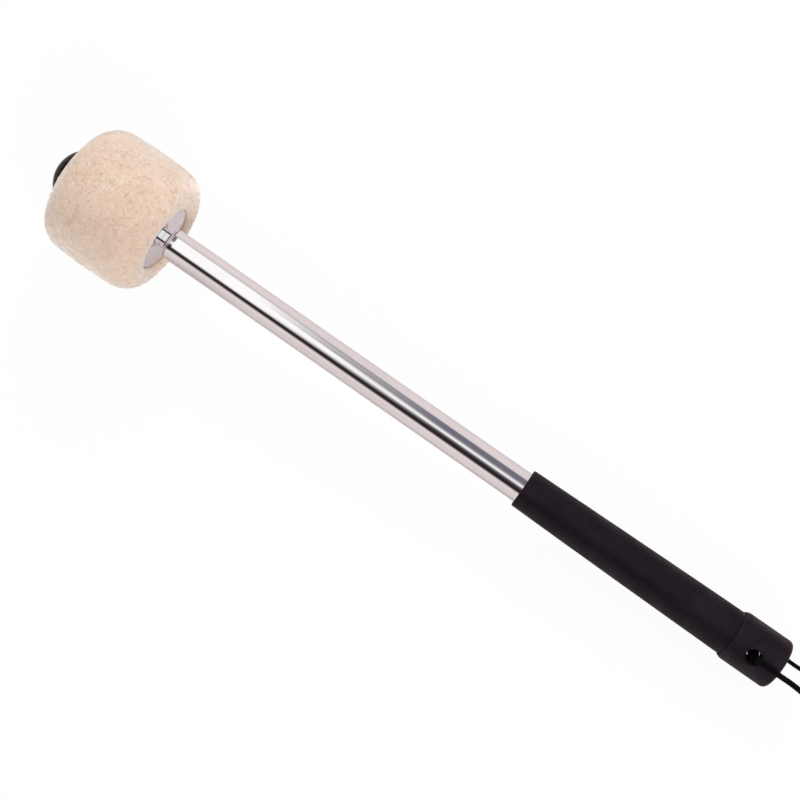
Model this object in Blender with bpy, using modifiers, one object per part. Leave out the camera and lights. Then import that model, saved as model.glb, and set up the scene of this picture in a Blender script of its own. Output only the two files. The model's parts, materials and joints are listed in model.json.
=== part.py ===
"""Drum beater with a felt head, a chromed tube, a rubber grip and a wrist lace.

The beater lies on the ground plane as it does on a table: felt and end cap touch
it, so the handle slopes down a little towards its butt end, which points to +X.
Everything turned shares one axis. A height is a distance along that axis from the
butt face up towards the head, and all lengths are metres.
"""

import math

import bmesh
import bpy
import numpy as np
from mathutils import Matrix, Vector

# Clearances and smoothness
SEAT_GAP = 0.0003
SMALL_EDGE = 0.0003
TURNED_STEPS = 48
DRILL_SIDES = 32
FLUTE_SIDES = 12
CURVE_STEPS = 24
MERGE_DISTANCE = 0.00001
SHARP_ANGLE = math.radians(32.0)

# Handle tube and the turned plug in its head end
TUBE_DIAMETER = 0.0130
TUBE_WALL = 0.0010
TUBE_TOP_HEIGHT = 0.2892
PLUG_LENGTH = 0.0200
NOSE_HEIGHT = 0.0012
NOSE_CHAMFER = 0.0007

# Stud through the head: a plain neck between two threaded ends
THREAD_DIAMETER = 0.0060
NECK_DIAMETER = 0.0078
NECK_LENGTH = 0.0026
STUD_DEPTH_IN_PLUG = 0.0130
STUD_BELOW_INSERT_TOP = 0.0002

# Washers that clamp the felt
WASHER_DIAMETER = 0.0280
WASHER_THICKNESS = 0.0015
LOCK_WASHER_DIAMETER = 0.0106
LOCK_WASHER_THICKNESS = 0.0012
LOCK_WASHER_SPLIT = 0.0008
LOCK_WASHER_SPLIT_LEAN = math.radians(30.0)

# Felt head: a crowned drum, dished at both ends where the washers press in
FELT_DIAMETER = 0.0555
FELT_LENGTH = 0.0457
FELT_CROWN = 0.0005
FELT_CREST_DIAMETER = 0.0350
FELT_SHOULDER_HEIGHT = 0.0102
WASHER_RECESS = 0.0029

# Domed knob that screws down on the stud, with a brass insert pressed in
KNOB_DIAMETER = 0.0220
KNOB_HEIGHT = 0.0114
KNOB_RIM_HEIGHT = 0.0062
KNOB_SKIRT_WALL = 0.0020
KNOB_BOSS_DIAMETER = 0.0126
KNOB_HOLLOW_DEPTH = 0.0058
FLUTE_COUNT = 24
FLUTE_DIAMETER = 0.0017
FLUTE_DEPTH = 0.0005
FLUTE_START = 0.0009
INSERT_DIAMETER = 0.0090
INSERT_LENGTH = 0.0070
INSERT_GROOVE_WIDTH = 0.0012
INSERT_GROOVE_DEPTH = 0.0005

# Rubber grip sleeve, thicker towards the butt
GRIP_TOP_HEIGHT = 0.1192
GRIP_TOP_DIAMETER = 0.0163
GRIP_CAP_DIAMETER = 0.01885
GRIP_SWELL = 0.0001
GRIP_CHAMFER = 0.0006

# Rubber end cap
CAP_DIAMETER = 0.0208
CAP_LENGTH = 0.0217
CAP_FLOOR = 0.0016
CAP_ROUND = 0.0022
CAP_LIP_CHAMFER = 0.0006
CAP_LIP_LENGTH = 0.0014

# Cross hole that the lace runs through, turned about the handle from straight up
CROSS_HOLE_HEIGHT = 0.0116
CROSS_HOLE_DIAMETER = 0.0040
CROSS_MOUTH_DIAMETER = 0.0065
CROSS_HOLE_TURN = math.radians(-27.0)

# Wrist lace: its thickness, the part inside the cross hole, and the loop's route on
# the ground, from the hole's upper mouth round the knot and back to its lower mouth
LACE_THICKNESS = 0.0013
LACE_POINT_SPACING = 0.0033
LACE_CROSSING_LENGTH = 0.0166
LACE_ROUTE = [
    (0.1610, -0.0040, 0.0187),
    (0.1631, -0.0048, 0.0210),
    (0.1678, -0.0050, 0.0209),
    (0.1730, -0.0050, 0.0206),
    (0.1790, -0.0050, 0.0202),
    (0.1850, -0.0053, 0.0185),
    (0.1910, -0.0060, 0.0152),
    (0.1970, -0.0074, 0.0100),
    (0.2030, -0.0096, 0.0048),
    (0.2090, -0.0123, 0.0015),
    (0.2160, -0.0155, 0.0008),
    (0.2250, -0.0180, 0.0008),
    (0.2340, -0.0165, 0.0008),
    (0.2405, -0.0105, 0.0009),
    (0.2440, -0.0045, 0.0017),
    (0.2470, -0.0009, 0.0025),
    (0.2500, -0.0009, 0.0026),
    (0.2530, -0.0008, 0.0025),
    (0.2539, 0.0000, 0.0025),
    (0.2530, 0.0008, 0.0025),
    (0.2500, 0.0009, 0.0026),
    (0.2470, 0.0009, 0.0025),
    (0.2437, 0.0043, 0.0017),
    (0.2395, 0.0110, 0.0009),
    (0.2325, 0.0165, 0.0008),
    (0.2230, 0.0192, 0.0008),
    (0.2110, 0.0168, 0.0008),
    (0.2000, 0.0110, 0.0009),
    (0.1910, 0.0070, 0.0010),
    (0.1830, 0.0057, 0.0011),
    (0.1765, 0.0056, 0.0011),
    (0.1705, 0.0061, 0.0009),
    (0.1650, 0.0060, 0.0008),
    (0.1613, 0.0052, 0.0014),
    (0.1600, 0.0040, 0.0031),
]

# Knot that closes the loop: turns wound round both strands, and two free tails
KNOT_CENTER = Vector((0.2496, 0.0, 0.0026))
KNOT_WIDTH = 0.0067
KNOT_THICKNESS = 0.0049
KNOT_TURNS = 2
KNOT_PITCH = 0.0018
KNOT_POINTS_PER_TURN = 10
KNOT_OVER_TAIL = [
    (0.2600, 0.0070, 0.0008),
    (0.2565, 0.0046, 0.0016),
    (0.2535, 0.0022, 0.0050),
    (0.2505, 0.0010, 0.0063),
    (0.2485, 0.0006, 0.0061),
]
KNOT_LOW_TAIL = [
    (0.2530, -0.0012, 0.0040),
    (0.2552, -0.0026, 0.0030),
    (0.2580, -0.0045, 0.0016),
    (0.2612, -0.0062, 0.0008),
]

TUBE_RADIUS = TUBE_DIAMETER / 2
BORE_RADIUS = TUBE_RADIUS - TUBE_WALL
THREAD_RADIUS = THREAD_DIAMETER / 2
CLEAR_RADIUS = THREAD_RADIUS + SEAT_GAP
CAP_RADIUS = CAP_DIAMETER / 2
FELT_RADIUS = FELT_DIAMETER / 2

# Heights of the faces that stack up from the tube's end to the dome
NECK_BASE = TUBE_TOP_HEIGHT + NOSE_HEIGHT + SEAT_GAP
NECK_TOP = NECK_BASE + NECK_LENGTH
REAR_WASHER_BASE = NECK_TOP + SEAT_GAP
FELT_BASE = REAR_WASHER_BASE - WASHER_RECESS
FELT_TOP = FELT_BASE + FELT_LENGTH
DISH_DEPTH = WASHER_RECESS + WASHER_THICKNESS + SEAT_GAP
FRONT_WASHER_BASE = FELT_TOP - DISH_DEPTH + SEAT_GAP
FRONT_WASHER_TOP = FRONT_WASHER_BASE + WASHER_THICKNESS
LOCK_WASHER_BASE = FRONT_WASHER_TOP + SEAT_GAP
KNOB_BASE = FRONT_WASHER_TOP + SEAT_GAP
INSERT_BASE = LOCK_WASHER_BASE + LOCK_WASHER_THICKNESS + SEAT_GAP
INSERT_TOP = INSERT_BASE + INSERT_LENGTH
KNOB_TOP = KNOB_BASE + KNOB_HEIGHT
STUD_TOP = INSERT_TOP - STUD_BELOW_INSERT_TOP
SLEEVE_BASE = CAP_FLOOR + SEAT_GAP


def arc(center, radii, start, end, count):
    """Points (radius, height) along an elliptical arc, angles in degrees from +X."""
    angles = np.radians(np.linspace(start, end, count))
    return [
        (center[0] + radii[0] * math.cos(angle), center[1] + radii[1] * math.sin(angle))
        for angle in angles
    ]


def felt_side():
    """Outer profile of the felt from its top crest down to its bottom crest."""
    crest = FELT_CREST_DIAMETER / 2
    shoulder = (FELT_RADIUS - FELT_CROWN - crest, FELT_SHOULDER_HEIGHT)
    top = arc((crest, FELT_TOP - shoulder[1]), shoulder, 90.0, 0.0, 8)
    bottom = arc((crest, FELT_BASE + shoulder[1]), shoulder, 0.0, -90.0, 8)
    middle = (top[-1][1] + bottom[0][1]) / 2
    half = top[-1][1] - middle
    crowned = []
    for share in (0.5, 0.0, -0.5):
        crowned.append((FELT_RADIUS - FELT_CROWN * share ** 2, middle + half * share))
    return top + crowned + bottom


def cap_side():
    """Outer profile of the end cap from its lip down to the flat butt face."""
    return [
        (CAP_RADIUS - CAP_LIP_CHAMFER, CAP_LENGTH),
        (CAP_RADIUS, CAP_LENGTH - CAP_LIP_LENGTH),
    ] + arc((CAP_RADIUS - CAP_ROUND, CAP_ROUND), (CAP_ROUND, CAP_ROUND), 0.0, -90.0, 6)


def dome_side():
    """Outer profile of the knob's dome from its tip down to its rim."""
    radius = KNOB_DIAMETER / 2
    rise = KNOB_HEIGHT - KNOB_RIM_HEIGHT
    dome_radius = (radius ** 2 + rise ** 2) / (2 * rise)
    half_angle = math.degrees(math.asin(radius / dome_radius))
    center = (0.0, KNOB_TOP - dome_radius)
    return arc(center, (dome_radius, dome_radius), 90.0, 90.0 - half_angle, 8)


def lowest(profile, tilt):
    """How far the lowest point of a turned profile lies above the butt's centre.

    Each turned piece has the middle of a facet underneath, so it rests on a flat.
    """
    flat = math.cos(math.pi / TURNED_STEPS)
    return min(h * math.sin(tilt) - r * flat * math.cos(tilt) for r, h in profile)


def resting_tilt():
    """Slope of the axis at which felt and end cap both touch level ground."""
    low, high = 0.0, math.radians(30.0)
    for _ in range(50):
        middle = (low + high) / 2
        if lowest(felt_side(), middle) < lowest(cap_side(), middle):
            low = middle
        else:
            high = middle
    return (low + high) / 2


def axis_matrix():
    """World matrix of the beater's axis: local +Z runs up the handle, local +X is up.

    The solids' bounding box then stands centred on the world's origin.
    """
    tilt = resting_tilt()
    dome_reach = max(r * math.sin(tilt) + h * math.cos(tilt) for r, h in dome_side())
    butt_reach = max(r * math.sin(tilt) - h * math.cos(tilt) for r, h in cap_side())
    place = Vector(((dome_reach - butt_reach) / 2, 0.0, -lowest(cap_side(), tilt)))
    turn = Matrix.Rotation(tilt - math.pi / 2, 4, "Y")
    return Matrix.Translation(place) @ turn


def new_collection(name):
    """Add an empty collection to the scene."""
    collection = bpy.data.collections.new(name)
    bpy.context.scene.collection.children.link(collection)
    return collection


def material(name, color, roughness, metallic=0.0):
    """Plain Principled material in the part's own colour."""
    made = bpy.data.materials.new(name)
    made.use_nodes = True
    shader = made.node_tree.nodes["Principled BSDF"]
    shader.inputs["Base Color"].default_value = (*color, 1.0)
    shader.inputs["Roughness"].default_value = roughness
    shader.inputs["Metallic"].default_value = metallic
    return made


def add_object(name, mesh, collection, parent=None):
    """Put a mesh into the scene as one named object."""
    made = bpy.data.objects.new(name, mesh)
    collection.objects.link(made)
    made.parent = parent
    return made


def turned(name, profile, collection, parent, closed=True):
    """Revolve a (radius, height) profile about the beater's axis."""
    mesh = bpy.data.meshes.new(name)
    count = len(profile)
    edges = [(i, i + 1) for i in range(count - 1)]
    if closed:
        edges.append((count - 1, 0))
    mesh.from_pydata([(r, 0.0, h) for r, h in profile], edges, [])
    made = add_object(name, mesh, collection, parent)
    screw = made.modifiers.new("turn", "SCREW")
    screw.axis = "Z"
    screw.angle = 2 * math.pi
    screw.steps = TURNED_STEPS
    screw.render_steps = TURNED_STEPS
    screw.use_merge_vertices = True
    screw.merge_threshold = MERGE_DISTANCE
    made.rotation_euler.z = math.pi / TURNED_STEPS
    return made


def ring(inner, outer, base, top, edge=SMALL_EDGE):
    """Profile of a flat ring with its two outer edges broken."""
    return [
        (outer - edge, top),
        (outer, top - edge),
        (outer, base + edge),
        (outer - edge, base),
        (inner, base),
        (inner, top),
    ]


def rod(name, radius, center, direction, length, collection, parent):
    """Straight round bar about a centre, used as a cutter."""
    shape = bmesh.new()
    bmesh.ops.create_cone(
        shape,
        cap_ends=True,
        segments=DRILL_SIDES,
        radius1=radius,
        radius2=radius,
        depth=length,
        matrix=Matrix.Translation(center) @ direction.to_track_quat("Z", "X").to_matrix().to_4x4(),
    )
    mesh = bpy.data.meshes.new(name)
    shape.to_mesh(mesh)
    shape.free()
    return add_object(name, mesh, collection, parent)


def as_cutter(made):
    """Show an object as a wire and keep it out of the result."""
    made.hide_render = True
    made.display_type = "WIRE"
    return made


def cut(target, cutter):
    """Subtract a cutter with an exact Boolean."""
    step = target.modifiers.new(cutter.name, "BOOLEAN")
    step.operation = "DIFFERENCE"
    step.solver = "EXACT"
    step.object = cutter


def settle(made, surface):
    """Turn modifiers into plain mesh, give it its material and smooth round faces."""
    graph = bpy.context.evaluated_depsgraph_get()
    mesh = bpy.data.meshes.new_from_object(made.evaluated_get(graph))
    made.modifiers.clear()
    made.data = mesh
    mesh.name = made.name
    mesh.materials.clear()
    mesh.materials.append(surface)
    mesh.shade_smooth()
    mesh.set_sharp_from_angle(angle=SHARP_ANGLE)


def cross_direction():
    """Direction of the cross hole in the axis frame, out of its upper mouth."""
    return Vector((math.cos(CROSS_HOLE_TURN), math.sin(CROSS_HOLE_TURN), 0.0))


def cross_cutter(name, diameter, collection, axis):
    """Bar that drills a cross hole right through the handle."""
    place = Vector((0.0, 0.0, CROSS_HOLE_HEIGHT))
    made = rod(name, diameter / 2, place, cross_direction(), 2 * CAP_DIAMETER, collection, axis)
    return as_cutter(made)


def make_tube(parts, axis, drill, surface):
    """Thin chromed tube, open at both ends, drilled across near its butt."""
    profile = ring(BORE_RADIUS, TUBE_RADIUS, SLEEVE_BASE, TUBE_TOP_HEIGHT - SEAT_GAP)
    made = turned("handle_tube", profile, parts, axis)
    cut(made, drill)
    settle(made, surface)


def make_plug(parts, axis, surface):
    """Plug pressed into the tube, with a chamfered nose and a blind threaded hole."""
    nose_top = TUBE_TOP_HEIGHT + NOSE_HEIGHT
    spigot = BORE_RADIUS - SEAT_GAP
    base = TUBE_TOP_HEIGHT - PLUG_LENGTH
    hole_floor = nose_top - STUD_DEPTH_IN_PLUG - SEAT_GAP - THREAD_RADIUS
    profile = [
        (TUBE_RADIUS - NOSE_CHAMFER, nose_top),
        (TUBE_RADIUS, nose_top - NOSE_CHAMFER),
        (TUBE_RADIUS, TUBE_TOP_HEIGHT),
        (spigot, TUBE_TOP_HEIGHT),
        (spigot, base + NOSE_CHAMFER),
        (spigot - NOSE_CHAMFER, base),
        (0.0, base),
        (0.0, hole_floor),
        (CLEAR_RADIUS, hole_floor + THREAD_RADIUS),
        (CLEAR_RADIUS, nose_top),
    ]
    made = turned("tube_plug", profile, parts, axis)
    settle(made, surface)


def make_stud(parts, axis, surface):
    """Stud whose neck seats between the plug's nose and the rear washer."""
    neck = NECK_DIAMETER / 2
    low = NECK_BASE - SEAT_GAP - STUD_DEPTH_IN_PLUG
    point = THREAD_RADIUS - SMALL_EDGE * 2
    profile = [
        (0.0, STUD_TOP),
        (point, STUD_TOP),
        (THREAD_RADIUS, STUD_TOP - SMALL_EDGE * 2),
        (THREAD_RADIUS, NECK_TOP),
        (neck - SMALL_EDGE, NECK_TOP),
        (neck, NECK_TOP - SMALL_EDGE),
        (neck, NECK_BASE + SMALL_EDGE),
        (neck - SMALL_EDGE, NECK_BASE),
        (THREAD_RADIUS, NECK_BASE),
        (THREAD_RADIUS, low + SMALL_EDGE * 2),
        (point, low),
        (0.0, low),
    ]
    made = turned("head_stud", profile, parts, axis, closed=False)
    settle(made, surface)


def make_washer(name, base, parts, axis, surface):
    """Flat clamping washer."""
    profile = ring(CLEAR_RADIUS, WASHER_DIAMETER / 2, base, base + WASHER_THICKNESS)
    settle(turned(name, profile, parts, axis), surface)


def make_lock_washer(parts, cutters, axis, surface):
    """Split lock washer under the knob's boss."""
    top = LOCK_WASHER_BASE + LOCK_WASHER_THICKNESS
    profile = ring(CLEAR_RADIUS, LOCK_WASHER_DIAMETER / 2, LOCK_WASHER_BASE, top, SMALL_EDGE / 2)
    made = turned("lock_washer", profile, parts, axis)
    slot = bmesh.new()
    bmesh.ops.create_cube(slot, size=1.0)
    size = (LOCK_WASHER_DIAMETER, LOCK_WASHER_SPLIT, LOCK_WASHER_THICKNESS * 4)
    slot.transform(Matrix.Diagonal((*size, 1.0)))
    slot.transform(Matrix.Rotation(LOCK_WASHER_SPLIT_LEAN, 4, "X"))
    slot.transform(Matrix.Translation((LOCK_WASHER_DIAMETER / 2, 0.0, (LOCK_WASHER_BASE + top) / 2)))
    mesh = bpy.data.meshes.new("lock_washer_split")
    slot.to_mesh(mesh)
    slot.free()
    cut(made, as_cutter(add_object("lock_washer_split", mesh, cutters, axis)))
    settle(made, surface)


def make_felt(parts, axis, surface):
    """Pressed felt drum, bored for the stud and dished under both washers."""
    seat_radius = WASHER_DIAMETER / 2 + SEAT_GAP
    seat_top = FELT_TOP - DISH_DEPTH
    seat_base = FELT_BASE + DISH_DEPTH
    lip = (FELT_CREST_DIAMETER / 2 - seat_radius, WASHER_RECESS)
    crest = FELT_CREST_DIAMETER / 2
    top_lip = arc((crest, FELT_TOP - lip[1]), lip, 180.0, 90.0, 5)
    base_lip = arc((crest, FELT_BASE + lip[1]), lip, -90.0, -180.0, 5)
    profile = (
        felt_side()
        + base_lip[1:]
        + [(seat_radius, seat_base), (CLEAR_RADIUS, seat_base)]
        + [(CLEAR_RADIUS, seat_top), (seat_radius, seat_top)]
        + top_lip[:-1]
    )
    settle(turned("felt_head", profile, parts, axis), surface)


def make_insert(parts, axis, surface):
    """Threaded brass insert with a retaining groove round its middle."""
    radius = INSERT_DIAMETER / 2
    middle = (INSERT_BASE + INSERT_TOP) / 2
    half = INSERT_GROOVE_WIDTH / 2
    waist = radius - INSERT_GROOVE_DEPTH
    profile = [
        (radius - SMALL_EDGE, INSERT_TOP),
        (radius, INSERT_TOP - SMALL_EDGE),
        (radius, middle + half),
        (waist, middle + half),
        (waist, middle - half),
        (radius, middle - half),
        (radius, INSERT_BASE + SMALL_EDGE),
        (radius - SMALL_EDGE, INSERT_BASE),
        (CLEAR_RADIUS, INSERT_BASE),
        (CLEAR_RADIUS, INSERT_TOP),
    ]
    settle(turned("knob_insert", profile, parts, axis), surface)


def flute_cutter(cutters, axis):
    """Ring of bars that groove the knob's rim all round."""
    shape = bmesh.new()
    reach = KNOB_DIAMETER / 2 + FLUTE_DIAMETER / 2 - FLUTE_DEPTH
    top = KNOB_TOP
    base = KNOB_BASE + FLUTE_START
    for number in range(FLUTE_COUNT):
        angle = 2 * math.pi * number / FLUTE_COUNT
        place = (reach * math.cos(angle), reach * math.sin(angle), (top + base) / 2)
        bmesh.ops.create_cone(
            shape,
            cap_ends=True,
            segments=FLUTE_SIDES,
            radius1=FLUTE_DIAMETER / 2,
            radius2=FLUTE_DIAMETER / 2,
            depth=top - base,
            matrix=Matrix.Translation(place),
        )
    mesh = bpy.data.meshes.new("knob_flutes")
    shape.to_mesh(mesh)
    shape.free()
    return as_cutter(add_object("knob_flutes", mesh, cutters, axis))


def make_knob(parts, cutters, axis, surface):
    """Domed knob: fluted rim, hollow underside and a boss bored for the insert."""
    radius = KNOB_DIAMETER / 2
    boss = KNOB_BOSS_DIAMETER / 2
    pocket = INSERT_DIAMETER / 2 + SEAT_GAP
    pocket_top = INSERT_TOP + SEAT_GAP
    hollow_top = KNOB_BASE + KNOB_HOLLOW_DEPTH
    skirt = radius - KNOB_SKIRT_WALL
    profile = dome_side() + [
        (radius, KNOB_BASE + SMALL_EDGE),
        (radius - SMALL_EDGE, KNOB_BASE),
        (skirt, KNOB_BASE),
        (skirt, hollow_top),
        (boss, hollow_top),
        (boss, INSERT_BASE),
        (pocket, INSERT_BASE),
        (pocket, pocket_top),
        (0.0, pocket_top),
    ]
    made = turned("dome_knob", profile, parts, axis)
    cut(made, flute_cutter(cutters, axis))
    settle(made, surface)


def grip_radius(height):
    """Outer radius of the sleeve: an even taper with a slight swell."""
    share = (GRIP_TOP_HEIGHT - height) / (GRIP_TOP_HEIGHT - CAP_LENGTH)
    taper = (GRIP_CAP_DIAMETER - GRIP_TOP_DIAMETER) / 2 * share
    return GRIP_TOP_DIAMETER / 2 + taper + GRIP_SWELL * 4 * share * (1.0 - share)


def make_grip(parts, axis, drill, surface):
    """Rubber sleeve on the tube, running down inside the end cap."""
    heights = np.linspace(GRIP_TOP_HEIGHT - GRIP_CHAMFER, CAP_LENGTH, 9)
    inner = TUBE_RADIUS + SEAT_GAP
    profile = [(grip_radius(GRIP_TOP_HEIGHT) - GRIP_CHAMFER, GRIP_TOP_HEIGHT)]
    profile += [(grip_radius(height), height) for height in heights]
    profile += [
        (GRIP_CAP_DIAMETER / 2, SLEEVE_BASE),
        (inner, SLEEVE_BASE),
        (inner, GRIP_TOP_HEIGHT),
    ]
    made = turned("grip_sleeve", profile, parts, axis)
    cut(made, drill)
    settle(made, surface)


def make_cap(parts, axis, drill, surface):
    """Closed rubber cap pushed over the sleeve, with a rounded end and a flat face."""
    inner = GRIP_CAP_DIAMETER / 2 + SEAT_GAP
    profile = cap_side() + [
        (0.0, 0.0),
        (0.0, CAP_FLOOR),
        (inner, CAP_FLOOR),
        (inner, CAP_LENGTH),
    ]
    made = turned("end_cap", profile, parts, axis)
    cut(made, drill)
    settle(made, surface)


def smooth_route(route, spacing):
    """Points at even steps along a Catmull-Rom curve through the route's points."""
    points = [Vector(point) for point in route]
    ends = [points[0] * 2 - points[1]] + points + [points[-1] * 2 - points[-2]]
    dense = []
    for a, b, c, d in zip(ends, ends[1:], ends[2:], ends[3:]):
        for share in np.linspace(0.0, 1.0, CURVE_STEPS, endpoint=False):
            s = float(share)
            dense.append(
                0.5
                * (
                    b * 2
                    + (c - a) * s
                    + (a * 2 - b * 5 + c * 4 - d) * s ** 2
                    + (b * 3 - a - c * 3 + d) * s ** 3
                )
            )
    dense.append(points[-1])
    travelled = np.cumsum([0.0] + [(q - p).length for p, q in zip(dense, dense[1:])])
    steps = max(2, round(travelled[-1] / spacing) + 1)
    wanted = np.linspace(0.0, travelled[-1], steps)
    columns = [np.interp(wanted, travelled, [point[k] for point in dense]) for k in range(3)]
    return [Vector(values) for values in zip(*columns)]


def cord_tube(name, points, parts, surface, parent=None):
    """Round cord as a curve with a bevel and filled ends."""
    curve = bpy.data.curves.new(name, "CURVE")
    curve.dimensions = "3D"
    curve.bevel_depth = LACE_THICKNESS / 2
    curve.bevel_resolution = 2
    curve.use_fill_caps = True
    spline = curve.splines.new("POLY")
    spline.points.add(len(points) - 1)
    for spot, point in zip(spline.points, points):
        spot.co = (*point, 1.0)
    curve.materials.append(surface)
    add_object(name, curve, parts, parent)


def make_lace(parts, axis, surface):
    """Lace through the cross hole, and its free loop on the ground."""
    center = Vector((0.0, 0.0, CROSS_HOLE_HEIGHT))
    half = cross_direction() * (LACE_CROSSING_LENGTH / 2)
    cord_tube("lace_crossing", [center - half, center, center + half], parts, surface, axis)
    cord_tube("wrist_lace", smooth_route(LACE_ROUTE, LACE_POINT_SPACING), parts, surface)


def make_knot(parts, surface):
    """Turns of lace wound round both strands of the loop, with a tail at each end."""
    across = (KNOT_WIDTH - LACE_THICKNESS) / 2
    upright = (KNOT_THICKNESS - LACE_THICKNESS) / 2
    count = KNOT_TURNS * KNOT_POINTS_PER_TURN
    turns = []
    for number in range(count + 1):
        share = number / KNOT_POINTS_PER_TURN
        angle = 2 * math.pi * share
        turns.append(
            KNOT_CENTER
            + Vector(
                (
                    KNOT_PITCH * (share - KNOT_TURNS / 2),
                    -across * math.sin(angle),
                    upright * math.cos(angle),
                )
            )
        )
    points = [Vector(point) for point in KNOT_OVER_TAIL] + turns
    points += [Vector(point) for point in KNOT_LOW_TAIL]
    cord_tube("lace_knot", points, parts, surface)


def main():
    """Build the beater from an empty scene."""
    for old in list(bpy.data.objects):
        bpy.data.objects.remove(old, do_unlink=True)
    parts = new_collection("drum_beater")
    cutters = new_collection("cutters")

    axis = bpy.data.objects.new("beater_axis", None)
    axis.matrix_world = axis_matrix()
    parts.objects.link(axis)

    chrome = material("chrome", (0.78, 0.78, 0.79), 0.08, 1.0)
    steel = material("steel", (0.55, 0.55, 0.57), 0.35, 1.0)
    felt = material("felt", (0.83, 0.74, 0.60), 0.95)
    brass = material("brass", (0.72, 0.55, 0.25), 0.30, 1.0)
    plastic = material("black_plastic", (0.02, 0.02, 0.022), 0.35)
    rubber = material("black_rubber", (0.03, 0.028, 0.034), 0.75)
    lace = material("black_lace", (0.02, 0.02, 0.02), 0.85)

    hole = cross_cutter("cross_hole", CROSS_HOLE_DIAMETER, cutters, axis)
    mouth = cross_cutter("cross_mouth", CROSS_MOUTH_DIAMETER, cutters, axis)

    make_tube(parts, axis, hole, chrome)
    make_plug(parts, axis, chrome)
    make_stud(parts, axis, steel)
    make_washer("rear_washer", REAR_WASHER_BASE, parts, axis, steel)
    make_washer("front_washer", FRONT_WASHER_BASE, parts, axis, steel)
    make_lock_washer(parts, cutters, axis, steel)
    make_felt(parts, axis, felt)
    make_insert(parts, axis, brass)
    make_knob(parts, cutters, axis, plastic)
    make_grip(parts, axis, mouth, rubber)
    make_cap(parts, axis, mouth, rubber)
    make_lace(parts, axis, lace)
    make_knot(parts, lace)


main()
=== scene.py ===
"""Looks of a drum beater: felt head, chromed tube, rubber grip and a braided wrist lace.

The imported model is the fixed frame. Each turned piece is modelled about the beater's own
axis, with heights measured from the butt face up towards the head, and is then put in
its place. All lengths are metres.
"""

import json
import logging
import math
from dataclasses import dataclass, field
from enum import Enum
from typing import Sequence

import bmesh
import bpy
import numpy as np
from mathutils import Euler, Matrix, Vector, noise

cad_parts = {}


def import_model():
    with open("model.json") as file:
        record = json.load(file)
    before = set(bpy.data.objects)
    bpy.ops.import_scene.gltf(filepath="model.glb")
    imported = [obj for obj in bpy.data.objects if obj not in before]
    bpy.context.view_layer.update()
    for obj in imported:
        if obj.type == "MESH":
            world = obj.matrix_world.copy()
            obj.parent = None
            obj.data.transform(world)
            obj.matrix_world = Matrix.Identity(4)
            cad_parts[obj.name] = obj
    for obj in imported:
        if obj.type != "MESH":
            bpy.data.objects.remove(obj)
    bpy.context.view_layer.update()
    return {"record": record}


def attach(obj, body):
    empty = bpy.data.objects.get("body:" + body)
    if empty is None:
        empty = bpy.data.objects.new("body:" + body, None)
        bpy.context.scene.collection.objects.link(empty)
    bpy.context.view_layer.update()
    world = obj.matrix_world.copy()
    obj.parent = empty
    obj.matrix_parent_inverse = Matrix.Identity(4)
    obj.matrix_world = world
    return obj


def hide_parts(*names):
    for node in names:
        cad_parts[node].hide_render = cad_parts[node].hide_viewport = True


LOG = logging.getLogger("drum_beater")
FULL_TURN = 2 * math.pi
# Slack where a vertex's radius is compared with a size.
NEAR = 1e-5
WHITE = (1.0, 1.0, 1.0)
# Attribute in which each vertex of the lace keeps its place in the straight braid.
UNROLLED = "unrolled"

Color = tuple[float, float, float]
Corner = tuple[float, float, float]
Place = tuple[float, float, float]
Layer = tuple[float, float, Place]
Shape = bmesh.types.BMesh
Material = bpy.types.Material
Object = bpy.types.Object
Socket = bpy.types.NodeSocket


class Body(Enum):
    """Bodies of the frame that a piece can ride on."""

    HANDLE = "handle"
    INSERT = "insert"
    KNOB = "knob"


class Slot(Enum):
    """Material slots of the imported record."""

    TUBE = "chromed_tube"
    STUD = "stud_steel"
    WASHER = "washer_steel"
    FELT = "wool_felt"
    INSERT = "insert_brass"
    KNOB = "knob_plastic"
    GRIP = "grip_rubber"
    CAP = "cap_rubber"
    LACE = "lace_cotton"


class Axis:
    """The line that the turned pieces share, read from the frame's own record.

    Attributes:
        butt: Centre of the butt face.
        ahead: Direction up the handle to the head.
        matrix: Local +Z up the handle and local +X upwards, to the frame's coordinates.
    """

    def __init__(self, record: dict) -> None:
        """Place the axis on the mount of the butt face."""
        mount = record["mounts"][0]
        self.butt = Vector(mount["pos_m"])
        self.ahead = -Vector(mount["axis"]).normalized()
        side = Vector((0.0, 1.0, 0.0))
        upward = side.cross(self.ahead).normalized()
        turn = Matrix((upward, side, self.ahead)).transposed().to_4x4()
        self.matrix = Matrix.Translation(self.butt) @ turn

    @property
    def rotation(self) -> Euler:
        """Rotation of the axis, for a Mapping node."""
        return self.matrix.to_euler()

    def direction(self, local: Sequence[float]) -> Vector:
        """A direction of the axis's own coordinates in those of the frame."""
        return self.matrix.to_3x3() @ Vector(local)


def put(name: str, data: bpy.types.ID) -> Object:
    """Put an object with this data into the scene."""
    made = bpy.data.objects.new(name, data)
    bpy.context.scene.collection.objects.link(made)
    return made


def ease(shape: Shape, geom: Sequence, width: float, segments: int, affect: str = "EDGES") -> None:
    """Bevel some edges or corners of a shape."""
    bmesh.ops.bevel(
        shape, geom=geom, offset=width, offset_type="OFFSET", segments=segments, profile=0.5,
        affect=affect, clamp_overlap=True, material=-1,
    )


def arc(center: tuple[float, float], radii: tuple[float, float], start: float, end: float,
        count: int) -> list[Corner]:
    """Points along an elliptical arc, with angles in degrees and no rounding."""
    angles = np.radians(np.linspace(start, end, count))
    return [(center[0] + radii[0] * math.cos(a), center[1] + radii[1] * math.sin(a), 0.0) for a in angles]


def swung(flat: Sequence[float], angle: float) -> Vector:
    """A radius and height of the profile's plane, swung about the axis."""
    return Vector((flat[0] * math.cos(angle), flat[0] * math.sin(angle), flat[1]))


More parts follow.
